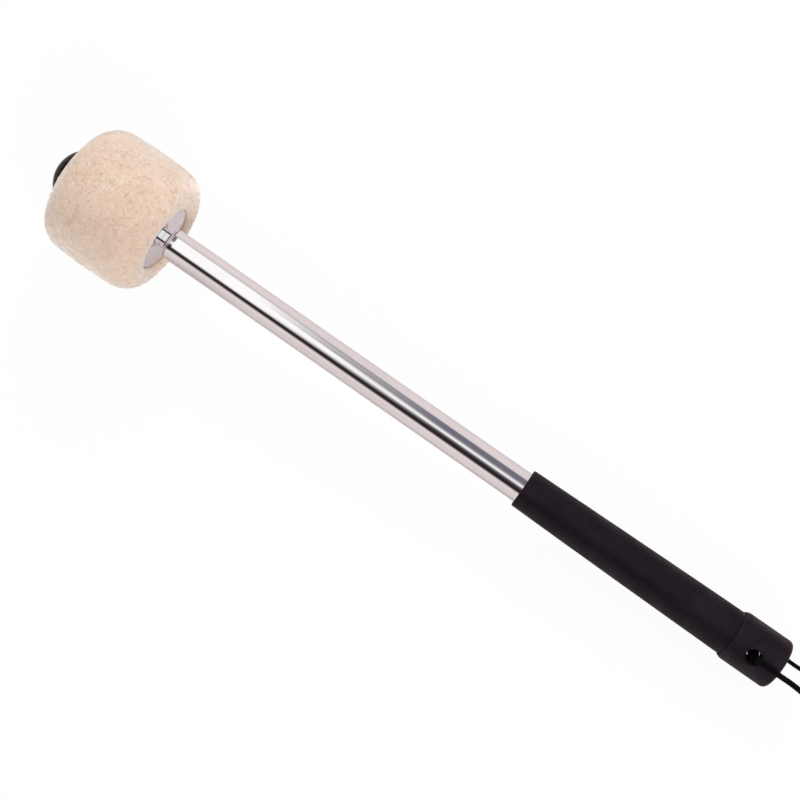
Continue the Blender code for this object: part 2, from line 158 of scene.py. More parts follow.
def unevenness(place: Vector, layers: Sequence[Layer]) -> float:
    """Height of an uneven surface, from layers with a scale, a height and a shift each."""
    return sum(noise.noise(place * scale + Vector(shift)) * height for scale, height, shift in layers)


def unit(rows: np.ndarray) -> np.ndarray:
    """Rows brought to a length of one."""
    return rows / np.maximum(np.linalg.norm(rows, axis=1), 1e-9)[:, None]


def travelled(line: np.ndarray) -> np.ndarray:
    """Distance along a line at each of its points."""
    return np.concatenate([[0.0], np.cumsum(np.linalg.norm(np.diff(line, axis=0), axis=1))])


def read_at(wanted: np.ndarray, known: np.ndarray, rows: np.ndarray) -> np.ndarray:
    """Rows that are known at some distances, read at others."""
    return np.stack([np.interp(wanted, known, column) for column in rows.T], axis=1)


class Threads:
    """Thin round threads, drawn in one curve and then made a mesh."""

    def __init__(self, name: str, thickness: float, roundness: int) -> None:
        """Start a curve with no thread in it."""
        self.curve = bpy.data.curves.new(name, "CURVE")
        self.curve.dimensions = "3D"
        self.curve.bevel_depth = thickness / 2
        self.curve.bevel_resolution = roundness
        self.curve.use_fill_caps = True

    def add(self, spots: Sequence, widths: Sequence[float]) -> None:
        """Draw a thread through places, with its share of the thickness at each."""
        spline = self.curve.splines.new("POLY")
        spline.points.add(len(spots) - 1)
        for point, spot, width in zip(spline.points, spots, widths):
            point.co = (*spot, 1.0)
            point.radius = width

    def mesh(self) -> bpy.types.Mesh:
        """Make the threads a mesh of the curve's name and remove the curve."""
        holder = bpy.data.objects.new(self.curve.name + "_curve", self.curve)
        made = bpy.data.meshes.new_from_object(holder)
        made.name = self.curve.name
        bpy.data.objects.remove(holder)
        bpy.data.curves.remove(self.curve)
        return made


class Graph:
    """A material's or the world's nodes, with short ways to add and join them."""

    PRINCIPLED = "Principled BSDF"

    def __init__(self, owner: bpy.types.ID) -> None:
        """Switch on the nodes of a material or world."""
        owner.use_nodes = True
        self.owner = owner
        self.nodes = owner.node_tree.nodes
        self.links = owner.node_tree.links

    @classmethod
    def of_material(cls, name: str) -> "Graph":
        """Start a new Principled material and return its graph."""
        return cls(bpy.data.materials.new(name))

    def shade(self, inputs: dict[str, object]) -> Material:
        """Feed the Principled shader and return its material."""
        for name, value in inputs.items():
            self.feed(self.nodes[self.PRINCIPLED].inputs[name], value)
        return self.owner

    def node(self, kind: str, inputs: dict | None = None, **settings: object) -> bpy.types.Node:
        """Add one node.

        Args:
            kind: The node's type without "ShaderNode".
            inputs: Values or sockets for its inputs, by name or number.
            settings: Properties to set on the node.

        Returns:
            The new node.
        """
        made = self.nodes.new("ShaderNode" + kind)
        for key, value in settings.items():
            setattr(made, key, value)
        for key, value in (inputs or {}).items():
            self.feed(made.inputs[key], value)
        return made

    def feed(self, socket: Socket, value: object) -> None:
        """Join a socket to another one, or set its value."""
        if isinstance(value, Socket):
            self.links.new(value, socket)
        elif isinstance(value, tuple) and len(value) == 3 and socket.type == "RGBA":
            socket.default_value = (*value, 1.0)
        else:
            socket.default_value = value

    def math(self, operation: str, first: object, second: object = 0.0) -> Socket:
        """Socket of a Math node."""
        return self.node("Math", {0: first, 1: second}, operation=operation).outputs[0]

    def noise(self, place: Socket, scale: float, detail: float = 2.0, roughness: float = 0.5) -> Socket:
        """Socket of a Noise Texture's value, from 0 to 1."""
        inputs = {"Vector": place, "Scale": scale, "Detail": detail, "Roughness": roughness}
        return self.node("TexNoise", inputs).outputs[0]

    def ramp(self, value: Socket, stops: Sequence[tuple[float, Color]]) -> Socket:
        """Socket of a Color Ramp with the given stops."""
        made = self.node("ValToRGB", {0: value})
        elements = made.color_ramp.elements
        while len(elements) < len(stops):
            elements.new(1.0)
        for element, (position, color) in zip(elements, stops):
            element.position = position
            element.color = (*color, 1.0)
        return made.outputs[0]

    def between(self, value: Socket, low: float, high: float, start: float = 0.0,
                end: float = 1.0) -> Socket:
        """Socket of a smooth Map Range from low..high to start..end."""
        inputs = {0: value, 1: low, 2: high, 3: start, 4: end}
        return self.node("MapRange", inputs, interpolation_type="SMOOTHSTEP").outputs[0]

    def mix(self, share: Socket, first: object, second: object, blend: str = "MIX") -> Socket:
        """Socket of a colour Mix node."""
        made = self.node("Mix", {0: share, 6: first, 7: second}, data_type="RGBA", blend_type=blend)
        return made.outputs[2]

    def toned(self, value: Socket, low: float, high: float, first: Color, second: Color) -> Socket:
        """Socket of a colour that turns into another one while a value rises."""
        return self.mix(self.between(value, low, high), first, second)

    def laid(self, under: Socket, over: Color, mask: Socket, share: float, blend: str = "MIX") -> Socket:
        """Socket of a colour with a share of another one laid over it where a mask is white."""
        return self.mix(self.math("MULTIPLY", mask, share), under, over, blend)

    def mixed_shader(self, share: object, first: Socket, second: Socket) -> Socket:
        """Socket of a Mix Shader."""
        return self.node("MixShader", {0: share, 1: first, 2: second}).outputs[0]

    def bump(self, height: Socket, strength: float, distance: float, normal: Socket | None = None) -> Socket:
        """Socket of a Bump node, on top of another normal if one is given."""
        inputs = {"Height": height, "Strength": strength, "Distance": distance}
        if normal is not None:
            inputs["Normal"] = normal
        return self.node("Bump", inputs).outputs[0]

    def stretched(self, place: Socket, turn: Place, scale: Place) -> Socket:
        """Socket of coordinates turned and stretched, for fibres and scratches."""
        return self.node("Mapping", {"Vector": place, "Rotation": turn, "Scale": scale}).outputs[0]

    def axis_place(self, axis: Axis) -> Socket:
        """Socket of the piece's own coordinates about the beater's axis, with Z up the handle."""
        inputs = {
            "Vector": self.node("TexCoord").outputs["Object"],
            "Location": tuple(axis.butt),
            "Rotation": tuple(axis.rotation),
        }
        return self.node("Mapping", inputs, vector_type="TEXTURE").outputs[0]

    def radius_and_height(self, place: Socket) -> Socket:
        """Socket of a place's distance from the axis and its height, as one vector."""
        parts = self.node("SeparateXYZ", {0: place}).outputs
        squares = [self.math("MULTIPLY", part, part) for part in parts[:2]]
        radius = self.math("SQRT", self.math("ADD", *squares))
        return self.node("CombineXYZ", {0: radius, 1: parts[2]}).outputs[0]

    def share_along(self, place: Socket, direction: Vector) -> Socket:
        """Socket of how far a place lies along a direction."""
        inputs = {0: place, 1: tuple(direction)}
        return self.node("VectorMath", inputs, operation="DOT_PRODUCT").outputs["Value"]


@dataclass(frozen=True)
class PolishedChrome:
    """Bright plated metal with faint wiping marks."""

    name: str = "polished_chrome"
    tint: Color = (0.90, 0.885, 0.89)
    wiped: Color = (0.86, 0.845, 0.85)
    roughness: float = 0.045
    haze: float = 0.05
    smear_scale: float = 45.0
    mark_scale: float = 900.0
    mark_stretch: Place = (1.0, 1.0, 0.06)
    mark_strength: float = 0.02
    mark_depth: float = 0.00002

    def material(self, axis: Axis) -> Material:
        """Build the material."""
        graph = Graph.of_material(self.name)
        place = graph.axis_place(axis)
        smear = graph.noise(place, self.smear_scale, 3.0)
        marks = graph.noise(graph.stretched(place, (0.0, 0.0, 0.0), self.mark_stretch), self.mark_scale)
        return graph.shade({
            "Base Color": graph.toned(smear, 0.35, 0.75, self.tint, self.wiped),
            "Metallic": 1.0,
            "Roughness": graph.between(smear, 0.45, 0.8, self.roughness, self.roughness + self.haze),
            "Normal": graph.bump(marks, self.mark_strength, self.mark_depth),
        })


@dataclass(frozen=True)
class TurnedMetal:
    """Metal cut on a lathe, with rings that follow the tool."""

    name: str
    tint: Color
    stain: Color
    roughness: float
    haze: float = 0.14
    ring_scale: float = 9000.0
    ring_strength: float = 0.18
    ring_depth: float = 0.00004
    cloud_scale: float = 320.0

    def material(self, axis: Axis) -> Material:
        """Build the material."""
        graph = Graph.of_material(self.name)
        place = graph.axis_place(axis)
        rings = graph.noise(graph.radius_and_height(place), self.ring_scale, 3.0, 0.7)
        cloud = graph.noise(place, self.cloud_scale, 4.0, 0.6)
        return graph.shade({
            "Base Color": graph.toned(cloud, 0.35, 0.8, self.tint, self.stain),
            "Metallic": 1.0,
            "Roughness": graph.math("ADD", self.roughness, graph.math("MULTIPLY", cloud, self.haze)),
            "Normal": graph.bump(rings, self.ring_strength, self.ring_depth),
        })


@dataclass(frozen=True)
class PressedWool:
    """Hard pressed felt: matted cream wool with tan hairs and small flecks."""

    name: str = "pressed_wool"
    deep: Color = (0.60, 0.430, 0.315)
    body: Color = (0.71, 0.528, 0.402)
    pale: Color = (0.79, 0.640, 0.515)
    hair: Color = (0.43, 0.28, 0.18)
    fluff: Color = (0.93, 0.84, 0.74)
    rose: Color = (0.99, 0.93, 0.96)
    sheen: Color = (1.0, 0.99, 0.98)
    fibre_turns: tuple[tuple[Place, float], ...] = (
        ((0.3, 0.9, 0.5), 10.0), ((1.4, 0.2, 1.9), 60.0), ((2.4, 1.3, 0.1), 110.0),
    )

    fibre_stretch: Place = (2600.0, 260.0, 700.0)
    fibre_depth: float = 0.00012
    cut_depth: float = 0.00025

    def streaks(self, graph: Graph, place: Socket, turn: Place, seed: float) -> Socket:
        """Socket of thin hair lines that run one way."""
        across, along, deep = self.fibre_stretch
        lines = graph.stretched(place, turn, (across, along, deep + seed))
        return graph.between(graph.noise(lines, 1.0, 2.0, 0.6), 0.60, 0.70)

    def material(self, axis: Axis) -> Material:
        """Build the material."""
        graph = Graph.of_material(self.name)
        place = graph.axis_place(axis)
        cloud = graph.noise(place, 90.0, 4.0, 0.6)
        mottle = graph.noise(place, 420.0, 4.0, 0.65)
        grain = graph.noise(place, 1900.0, 3.0, 0.7)
        tone = graph.math("ADD", graph.math("MULTIPLY", cloud, 0.25), graph.math("MULTIPLY", mottle, 0.35))
        tone = graph.math("ADD", tone, graph.math("MULTIPLY", grain, 0.40))
        wool = graph.ramp(tone, [(0.34, self.deep), (0.48, self.body), (0.66, self.pale)])
        first, second, third = [self.streaks(graph, place, turn, seed) for turn, seed in self.fibre_turns]
        blush = graph.between(graph.noise(place, 55.0), 0.38, 0.66)
        specks = graph.between(graph.noise(place, 700.0), 0.64, 0.74)
        wool = graph.laid(wool, self.rose, blush, 0.45, "MULTIPLY")
        wool = graph.laid(wool, self.hair, first, 0.42)
        wool = graph.laid(wool, self.fluff, second, 0.42)
        wool = graph.laid(wool, self.hair, third, 0.28)
        wool = graph.laid(wool, self.hair, specks, 0.40)
        rough_cut = graph.bump(grain, 0.35, self.cut_depth)
        fibres = graph.math("ADD", second, graph.math("SUBTRACT", third, first))
        return graph.shade({
            "Base Color": wool,
            "Roughness": 0.95,
            "Specular IOR Level": 0.15,
            "Sheen Weight": 1.0,
            "Sheen Roughness": 0.55,
            "Sheen Tint": self.sheen,
            "Normal": graph.bump(fibres, 0.25, self.fibre_depth, rough_cut),
        })


@dataclass(frozen=True)
class WoolHair:
    """Single wool hairs that stand off the felt."""

    name: str
    light: Color
    dark: Color

    def material(self, axis: Axis) -> Material:
        """Build the material."""
        graph = Graph.of_material(self.name)
        tone = graph.noise(graph.axis_place(axis), 260.0, 1.0)
        return graph.shade({
            "Base Color": graph.toned(tone, 0.35, 0.65, self.dark, self.light),
            "Roughness": 0.8,
            "Specular IOR Level": 0.25,
        })


@dataclass(frozen=True)
class MouldedBlack:
    """Black rubber or plastic with the faint grain of its mould."""

    name: str
    tint: Color
    worn: Color
    roughness: float
    gloss: float
    grain_scale: float
    grain_strength: float
    grain_depth: float = 0.00006
    patch_scale: float = 70.0
    smear: float = 0.12
    shine: Color = WHITE
    dust: Color = (0.06, 0.055, 0.06)
    dust_share: float = 0.15

    def material(self, axis: Axis) -> Material:
        """Build the material."""
        graph = Graph.of_material(self.name)
        place = graph.axis_place(axis)
        patches = graph.noise(place, self.patch_scale, 5.0, 0.6)
        handled = graph.noise(place, self.patch_scale * 1.7, 4.0, 0.6)
        grain = graph.noise(place, self.grain_scale, 3.0, 0.6)
        dusty = graph.between(graph.noise(place, self.grain_scale * 0.4), 0.62, 0.78)
        color = graph.toned(patches, 0.35, 0.70, self.tint, self.worn)
        return graph.shade({
            "Base Color": graph.laid(color, self.dust, dusty, self.dust_share),
            "Roughness": graph.between(handled, 0.3, 0.7, self.roughness, self.roughness + self.smear),
            "Specular IOR Level": self.gloss,
            "Specular Tint": self.shine,
            "Normal": graph.bump(grain, self.grain_strength, self.grain_depth),
        })


@dataclass(frozen=True)
class BraidedCotton:
    """Black yarn with the twist of its plies, in the lace's own unrolled coordinates."""

    name: str = "braided_cotton"
    tint: Color = (0.0014, 0.0012, 0.0016)
    lit: Color = (0.0048, 0.0042, 0.0052)
    ply_turn: Place = (0.0, 0.0, 0.7)
    ply_stretch: Place = (5200.0, 900.0, 900.0)
    ply_depth: float = 0.00008
    fluff_scale: float = 2600.0
    fluff_depth: float = 0.00005

    def material(self, axis: Axis) -> Material:
        """Build the material, which doesn't depend on the axis."""
        graph = Graph.of_material(self.name)
        unrolled = graph.node("Attribute", attribute_name=UNROLLED).outputs["Vector"]
        twist = graph.noise(graph.stretched(unrolled, self.ply_turn, self.ply_stretch), 1.0, 2.0, 0.6)
        fluff = graph.noise(unrolled, self.fluff_scale, 2.0, 0.6)
        return graph.shade({
            "Base Color": graph.toned(twist, 0.42, 0.72, self.tint, self.lit),
            "Roughness": 0.7,
            "Specular IOR Level": 0.09,
            "Normal": graph.bump(fluff, 0.2, self.fluff_depth, graph.bump(twist, 0.5, self.ply_depth)),
        })


@dataclass(frozen=True)
class Lamp:
    """Square soft lamp that shiny pieces don't mirror."""

    name: str
    place: Place
    size: float
    power: float
    tint: Color = WHITE
    aim: Place = (-0.05, 0.0, 0.0)

    def hang(self) -> None:
        """Hang the lamp in the scene."""
        data = bpy.data.lights.new(self.name, "AREA")
        data.shape = "SQUARE"
        data.size = self.size
        data.energy = self.power
        data.color = self.tint
        made = put(self.name, data)
        made.location = self.place
        made.rotation_euler = (Vector(self.aim) - Vector(self.place)).to_track_quat("-Z", "Y").to_euler()
        made.visible_glossy = False


@dataclass
class Studio:
    """Camera, pale floor, soft light and the white room that the chrome reflects."""

    focal_length: float = 67.05
    sensor_width: float = 36.0
    nearest: float = 0.01
    camera_place: Place = (0.07494, -0.11491, 0.59045)
    camera_pitch: float = 13.91
    camera_heading: float = 34.98
    floor_size: float = 6.0
    floor_drop: float = 0.0002
    room_light: float = 0.52
    seen_share: float = 0.94
    glow_share: float = 0.12
    matt: Color = (0.88, 0.87, 0.87)
    ground: Color = (0.68, 0.603, 0.61)
    glow: Color = (0.74, 0.655, 0.66)
    paper: Color = (0.81, 0.725, 0.73)
    white: Color = (1.10, 1.09, 1.09)
    edge: Color = (0.64, 0.60, 0.60)
    streak: Color = (0.40, 0.385, 0.41)
    slate: Color = (0.175, 0.17, 0.215)
    black: Color = (0.030, 0.020, 0.021)
    lamps: tuple[Lamp, ...] = (
        Lamp("key_lamp", (-0.50, 1.05, 0.95), 0.7, 13.4),
        Lamp("fill_lamp", (0.90, -0.74, 0.78), 0.9, 11.2, (1.0, 0.98, 0.98)),
    )

    def camera(self) -> None:
        """Make the camera at the photograph's viewing angle."""
        data = bpy.data.cameras.new("camera")
        data.lens = self.focal_length
        data.sensor_width = self.sensor_width
        data.clip_start = self.nearest
        made = put("camera", data)
        made.location = self.camera_place
        made.rotation_euler = (math.radians(self.camera_pitch), 0.0, math.radians(self.camera_heading))
        bpy.context.scene.camera = made

    def floor(self) -> None:
        """Lay the floor a little below the beater."""
        shape = bmesh.new()
        bmesh.ops.create_grid(shape, x_segments=1, y_segments=1, size=self.floor_size / 2)
        bmesh.ops.translate(shape, verts=shape.verts, vec=(0.0, 0.0, -self.floor_drop))
        made = Bench.plain(shape, "floor")
        made.data.materials.append(self.floor_paper())

    def floor_paper(self) -> Material:
        """Build the floor's material: white with a faint shadow to the camera, pale paper to metal."""
        graph = Graph.of_material("floor_paper")
        graph.nodes.remove(graph.nodes[Graph.PRINCIPLED])
        matt, shaded, seen, mirrored = [
            graph.node(kind, {"Color": color}).outputs[0] for kind, color in (
                ("BsdfDiffuse", self.matt), ("BsdfDiffuse", self.ground),
                ("Emission", WHITE), ("Emission", self.glow),
            )
        ]
        path = graph.node("LightPath").outputs
        shiny = graph.math("MAXIMUM", path["Is Glossy Ray"], path["Is Transmission Ray"])
        to_camera = graph.mixed_shader(self.seen_share, matt, seen)
        to_metal = graph.mixed_shader(self.glow_share, shaded, mirrored)
        plain = graph.mixed_shader(path["Is Camera Ray"], matt, to_camera)
        graph.feed(graph.nodes["Material Output"].inputs[0], graph.mixed_shader(shiny, plain, to_metal))
        return graph.owner

    def room(self, axis: Axis) -> None:
        """Light the room evenly and hang the panels that shiny pieces reflect."""
        world = bpy.data.worlds.new("studio")
        bpy.context.scene.world = world
        graph = Graph(world)
        toward = graph.node("TexCoord").outputs["Generated"]
        upward = graph.share_along(toward, axis.direction((1.0, 0.0, 0.0)))
        side = graph.share_along(toward, axis.direction((0.0, 1.0, 0.0)))
        along = graph.share_along(toward, -axis.ahead)
        angle = graph.math("ARCTAN2", side, upward)
        round_share = graph.math("ADD", graph.math("DIVIDE", angle, FULL_TURN), 0.5)
        seen = None
        for (low, high), stops in self.bays():
            bay = graph.ramp(round_share, [(degrees / 360.0 + 0.5, color) for degrees, color in stops])
            share = graph.node("MapRange", {0: along, 1: low, 2: high}).outputs[0]
            seen = bay if seen is None else graph.mix(share, seen, bay)
        path = graph.node("LightPath").outputs
        even = graph.mix(path["Is Camera Ray"], (self.room_light,) * 3, WHITE)
        background = graph.nodes["Background"].inputs
        graph.feed(background["Color"], graph.mix(path["Is Glossy Ray"], even, seen))
        graph.feed(background["Strength"], 1.0)

    def bays(self) -> list[tuple[tuple[float, float], list[tuple[float, Color]]]]:
        """Panels of the room, bay by bay from the head's side to the butt's side.

        Returns:
            For each bay, the sines between which it fades in along the handle, and its
            panels by angle from straight up, in degrees towards +Y.
        """
        return [
            ((-1.0, -0.9), [
                (-68, self.paper), (-55, self.black), (-39, self.black), (-26, self.white),
                (43, self.white), (50, self.edge), (57, self.edge), (65, self.paper),
            ]),
            ((-0.20, -0.14), [
                (-68, self.paper), (-55, self.black), (-36, self.black), (-14, self.white), (4, self.white),
                (17, self.streak), (31, self.edge), (45, self.streak), (60, self.paper),
            ]),
            ((-0.14, -0.05), [
                (-68, self.paper), (-55, self.black), (-33, self.black), (-21, self.slate), (-8, self.white),
                (5, self.streak), (14, self.slate), (43, self.slate), (56, self.paper),
            ]),
            ((0.08, 0.14), [
                (-68, self.paper), (-61, self.black), (-43, self.black), (-31, self.white),
                (58, self.white), (73, self.black), (94, self.black), (108, self.paper),
            ]),
        ]

    def build(self, axis: Axis) -> None:
        """Set up everything that isn't the beater."""
        self.camera()
        self.floor()
        self.room(axis)
        for lamp in self.lamps:
            lamp.hang()
        bpy.context.scene.view_settings.view_transform = "Standard"
        LOG.info("studio ready")


class Bench:
    """Where shapes are spun, cut and made into finished pieces of the beater.

    Attributes:
        SHARP: Angle from which an edge is kept sharp.
        WELD: Distance below which two points are one.
        HOLD: Distance from a corner at which the straight faces begin.
        RIM: Share of a hole's radius by which an edge may be off its rim.
        FINE: Rounding of an edge that only has its sharpness taken off.
    """

    SHARP = math.radians(34.0)
    WELD = 1e-6
    HOLD = 0.00025
    RIM = 0.01
    FINE = 0.0001

    def __init__(self, axis: Axis) -> None:
        """Set the bench up for pieces about an axis."""
        self.axis = axis

    def profile(self, shape: Shape, corners: Sequence[Corner], closed: bool = True) -> None:
        """Draw a profile in the plane through the axis and round its corners.

        Args:
            shape: The bmesh to draw in.
            corners: Radius, height and rounding of each corner.
            closed: Whether the last corner joins the first.
        """
        verts = [shape.verts.new((radius, 0.0, height)) for radius, height, _ in corners]
        pairs = list(zip(verts, verts[1:]))
        if closed:
            pairs.append((verts[-1], verts[0]))
        for pair in pairs:
            shape.edges.new(pair)
        for vert, (_, _, rounding) in zip(verts, corners):
            if rounding > 0.0:
                ease(shape, [vert], rounding, 4, "VERTICES")
        for edge in shape.edges[:]:
            self.hold(edge)

    def hold(self, edge: bmesh.types.BMEdge) -> None:
        """Split a long edge close to both ends, which keeps the shading between them straight."""
        if edge.calc_length() < 4 * self.HOLD:
            return
        start, end = edge.verts
        _, near = bmesh.utils.edge_split(edge, start, self.HOLD / edge.calc_length())
        rest = next(part for part in near.link_edges if end in part.verts)
        bmesh.utils.edge_split(rest, end, self.HOLD / rest.calc_length())

    def spun(self, corners: Sequence[Corner], steps: int, closed: bool = True) -> Shape:
        """Turn a profile about the axis."""
        shape = bmesh.new()
        self.profile(shape, corners, closed)
        return self.turned(shape, steps)

    def turned(self, shape: Shape, steps: int, turns: int = 1, rise: float = 0.0) -> Shape:
        """Sweep a drawn profile about the axis.

        Args:
            shape: The profile, which is freed.
            steps: Steps in a full turn.
            turns: How many turns.
            rise: How far each turn rises, for a thread.

        Returns:
            The closed shape.
        """
        drawn = self.plain(shape, "drawn_profile")
        screw = drawn.modifiers.new("turn", "SCREW")
        screw.axis = "Z"
        screw.angle = FULL_TURN
        screw.iterations = turns
        screw.screw_offset = rise
        screw.steps = steps
        screw.render_steps = steps
        made = self.evaluated(drawn)
        bmesh.ops.remove_doubles(made, verts=made.verts, dist=self.WELD)
        bmesh.ops.dissolve_degenerate(made, edges=made.edges, dist=self.WELD)
        bmesh.ops.holes_fill(made, edges=[edge for edge in made.edges if edge.is_boundary], sides=0)
        bmesh.ops.recalc_face_normals(made, faces=made.faces)
        return made

    @staticmethod
    def evaluated(made: Object, *helpers: Object) -> Shape:
        """Shape of an object with its modifiers, after which it and its helpers are removed."""
        bpy.context.view_layer.update()
        graph = bpy.context.evaluated_depsgraph_get()
        mesh = bpy.data.meshes.new_from_object(made.evaluated_get(graph))
        shape = bmesh.new()
        shape.from_mesh(mesh)
        bpy.data.meshes.remove(mesh)
        for used in (made, *helpers):
            data = used.data
            bpy.data.objects.remove(used)
            bpy.data.meshes.remove(data)
        return shape

    @staticmethod
    def joined(shape: Shape, other: Shape) -> None:
        """Add another shape to a shape and free the other one."""
        mesh = bpy.data.meshes.new("joined")
        other.to_mesh(mesh)
        other.free()
        shape.from_mesh(mesh)
        bpy.data.meshes.remove(mesh)

    def drilled(self, shape: Shape, bar: Shape, radius: float, height: float, turn: float,
                width: float) -> Shape:
        """Cut a bar out of a shape and ease the edges of the hole.

        Args:
            shape: The shape to cut, which is freed.
            bar: The cutter about +Z, which is freed.
            radius: Radius of the hole.
            height: Height of the hole's axis.
            turn: Direction of the hole about the beater's axis.
            width: Width of the bevel round the hole.

        Returns:
            The drilled shape.
        """
        middle = Vector((0.0, 0.0, height))
        across = Vector((math.cos(turn), math.sin(turn), 0.0))
        place = Matrix.Translation(middle) @ across.to_track_quat("Z", "X").to_matrix().to_4x4()
        bmesh.ops.transform(bar, matrix=place, verts=bar.verts)
        target = self.plain(shape, "drill_target")
        cutter = self.plain(bar, "drill_bar")
        step = target.modifiers.new("drill", "BOOLEAN")
        step.operation = "DIFFERENCE"
        step.solver = "EXACT"
        step.object = cutter
        cut = self.evaluated(target, cutter)
        rim = []
        for edge in cut.edges:
            if len(edge.link_faces) != 2 or edge.calc_face_angle(0.0) < self.SHARP:
                continue
            spots = [vert.co - middle for vert in edge.verts]
            away = [(spot - across * spot.dot(across)).length for spot in spots]
            if all(abs(distance - radius) < radius * self.RIM for distance in away):
                rim.append(edge)
        if rim:
            ease(cut, rim, width, 3)
        return cut

    @staticmethod
    def plain(shape: Shape, name: str) -> Object:
        """Put a shape into the scene as it is and free it."""
        mesh = bpy.data.meshes.new(name)
        shape.to_mesh(mesh)
        shape.free()
        return put(name, mesh)

    def finish(self, shape: Shape, name: str, material: Material, body: Body, node: str) -> None:
        """Make a shape that is in the axis's coordinates a finished piece on its body.

        Args:
            shape: The bmesh, which is freed.
            name: Name of the piece.
            material: Its finish.
            body: The body that it rides on.
            node: Node of the frame that it stands for.
        """
        bmesh.ops.transform(shape, matrix=self.axis.matrix, verts=shape.verts)
        self.dress(self.plain(shape, name), material, body, node)

    def dress(self, made: Object, material: Material, body: Body, node: str = "") -> Object:
        """Give a piece its material, smooth faces and body, and return it."""
        mesh = made.data
        mesh.materials.clear()
        mesh.materials.append(material)
        mesh.shade_smooth()
        mesh.set_sharp_from_angle(angle=self.SHARP)
        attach(made, body.value)
        if node:
            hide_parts(node)
        LOG.info("%s: %d faces on %s", made.name, len(mesh.polygons), body.value)
        return made


@dataclass
class Stack:
    """Heights of the faces that stack up from the tube's end to the dome, and the stud's holes."""

    gap: float = 0.0003
    tube_top: float = 0.2892
    nose_height: float = 0.0012
    neck_length: float = 0.0020
    washer_thickness: float = 0.0015
    rear_recess: float = 0.0017
    front_recess: float = 0.0029
    felt_length: float = 0.0451
    lock_washer_thickness: float = 0.0012
    insert_length: float = 0.0070
    knob_height: float = 0.0114
    stud_below_insert: float = 0.0002
    hole_radius: float = 0.0033
    hole_mouth: float = 0.0036
    hole_lead: float = 0.0003

    def __post_init__(self) -> None:
        """Add the heights up from the tube's end."""
        self.nose_top = self.tube_top + self.nose_height
        self.neck_base = self.nose_top + self.gap
        self.neck_top = self.neck_base + self.neck_length
        self.rear_washer = self.neck_top + self.gap
        self.felt_base = self.rear_washer - self.rear_recess
        self.felt_top = self.felt_base + self.felt_length
        self.rear_seat = self.rear_washer + self.washer_thickness + self.gap
        self.front_washer = self.felt_top - self.front_recess - self.washer_thickness
        self.front_seat = self.front_washer - self.gap
        self.lock_washer = self.front_washer + self.washer_thickness + self.gap
        self.knob_base = self.lock_washer
        self.knob_top = self.knob_base + self.knob_height
        self.insert_base = self.lock_washer + self.lock_washer_thickness + self.gap
        self.insert_top = self.insert_base + self.insert_length
        self.stud_top = self.insert_top - self.stud_below_insert


@dataclass
class CrossHole:
    """The hole that the lace runs through, turned about the handle from straight up."""

    height: float = 0.0116
    radius: float = 0.0020
    mouth_radius: float = 0.00325
    turn: float = math.radians(-27.0)
    reach: float = 0.042
    sink_width: float = 0.0010
    sink_depth: float = 0.00042
    rim_width: float = 0.00008
    steps: int = 64

    def mouth(self, bench: Bench, shape: Shape, width: float) -> Shape:
        """Drill the wide mouth through a rubber shape and ease its edges."""
        bar = bmesh.new()
        bmesh.ops.create_cone(
            bar, cap_ends=True, segments=self.steps, radius1=self.mouth_radius,
            radius2=self.mouth_radius, depth=self.reach,
        )
        return bench.drilled(shape, bar, self.mouth_radius, self.height, self.turn, width)

    def countersunk(self, bench: Bench, shape: Shape, surface: float) -> Shape:
        """Drill a tube right through and countersink both ends of the hole.

        Args:
            bench: Where the drill is turned and used.
            shape: The tube, which is freed.
            surface: Outer radius of the tube.

        Returns:
            The drilled tube.
        """
        half = [
            (0.0, surface + self.sink_depth, 0.0),
            (self.radius + 2 * self.sink_width, surface + self.sink_depth, 0.0),
            (self.radius, surface - self.sink_depth, 0.0),
        ]
        other = [(radius, -along, 0.0) for radius, along, _ in reversed(half)]
        bar = bench.spun(half + other, self.steps, closed=False)
        return bench.drilled(shape, bar, self.radius, self.height, self.turn, self.rim_width)


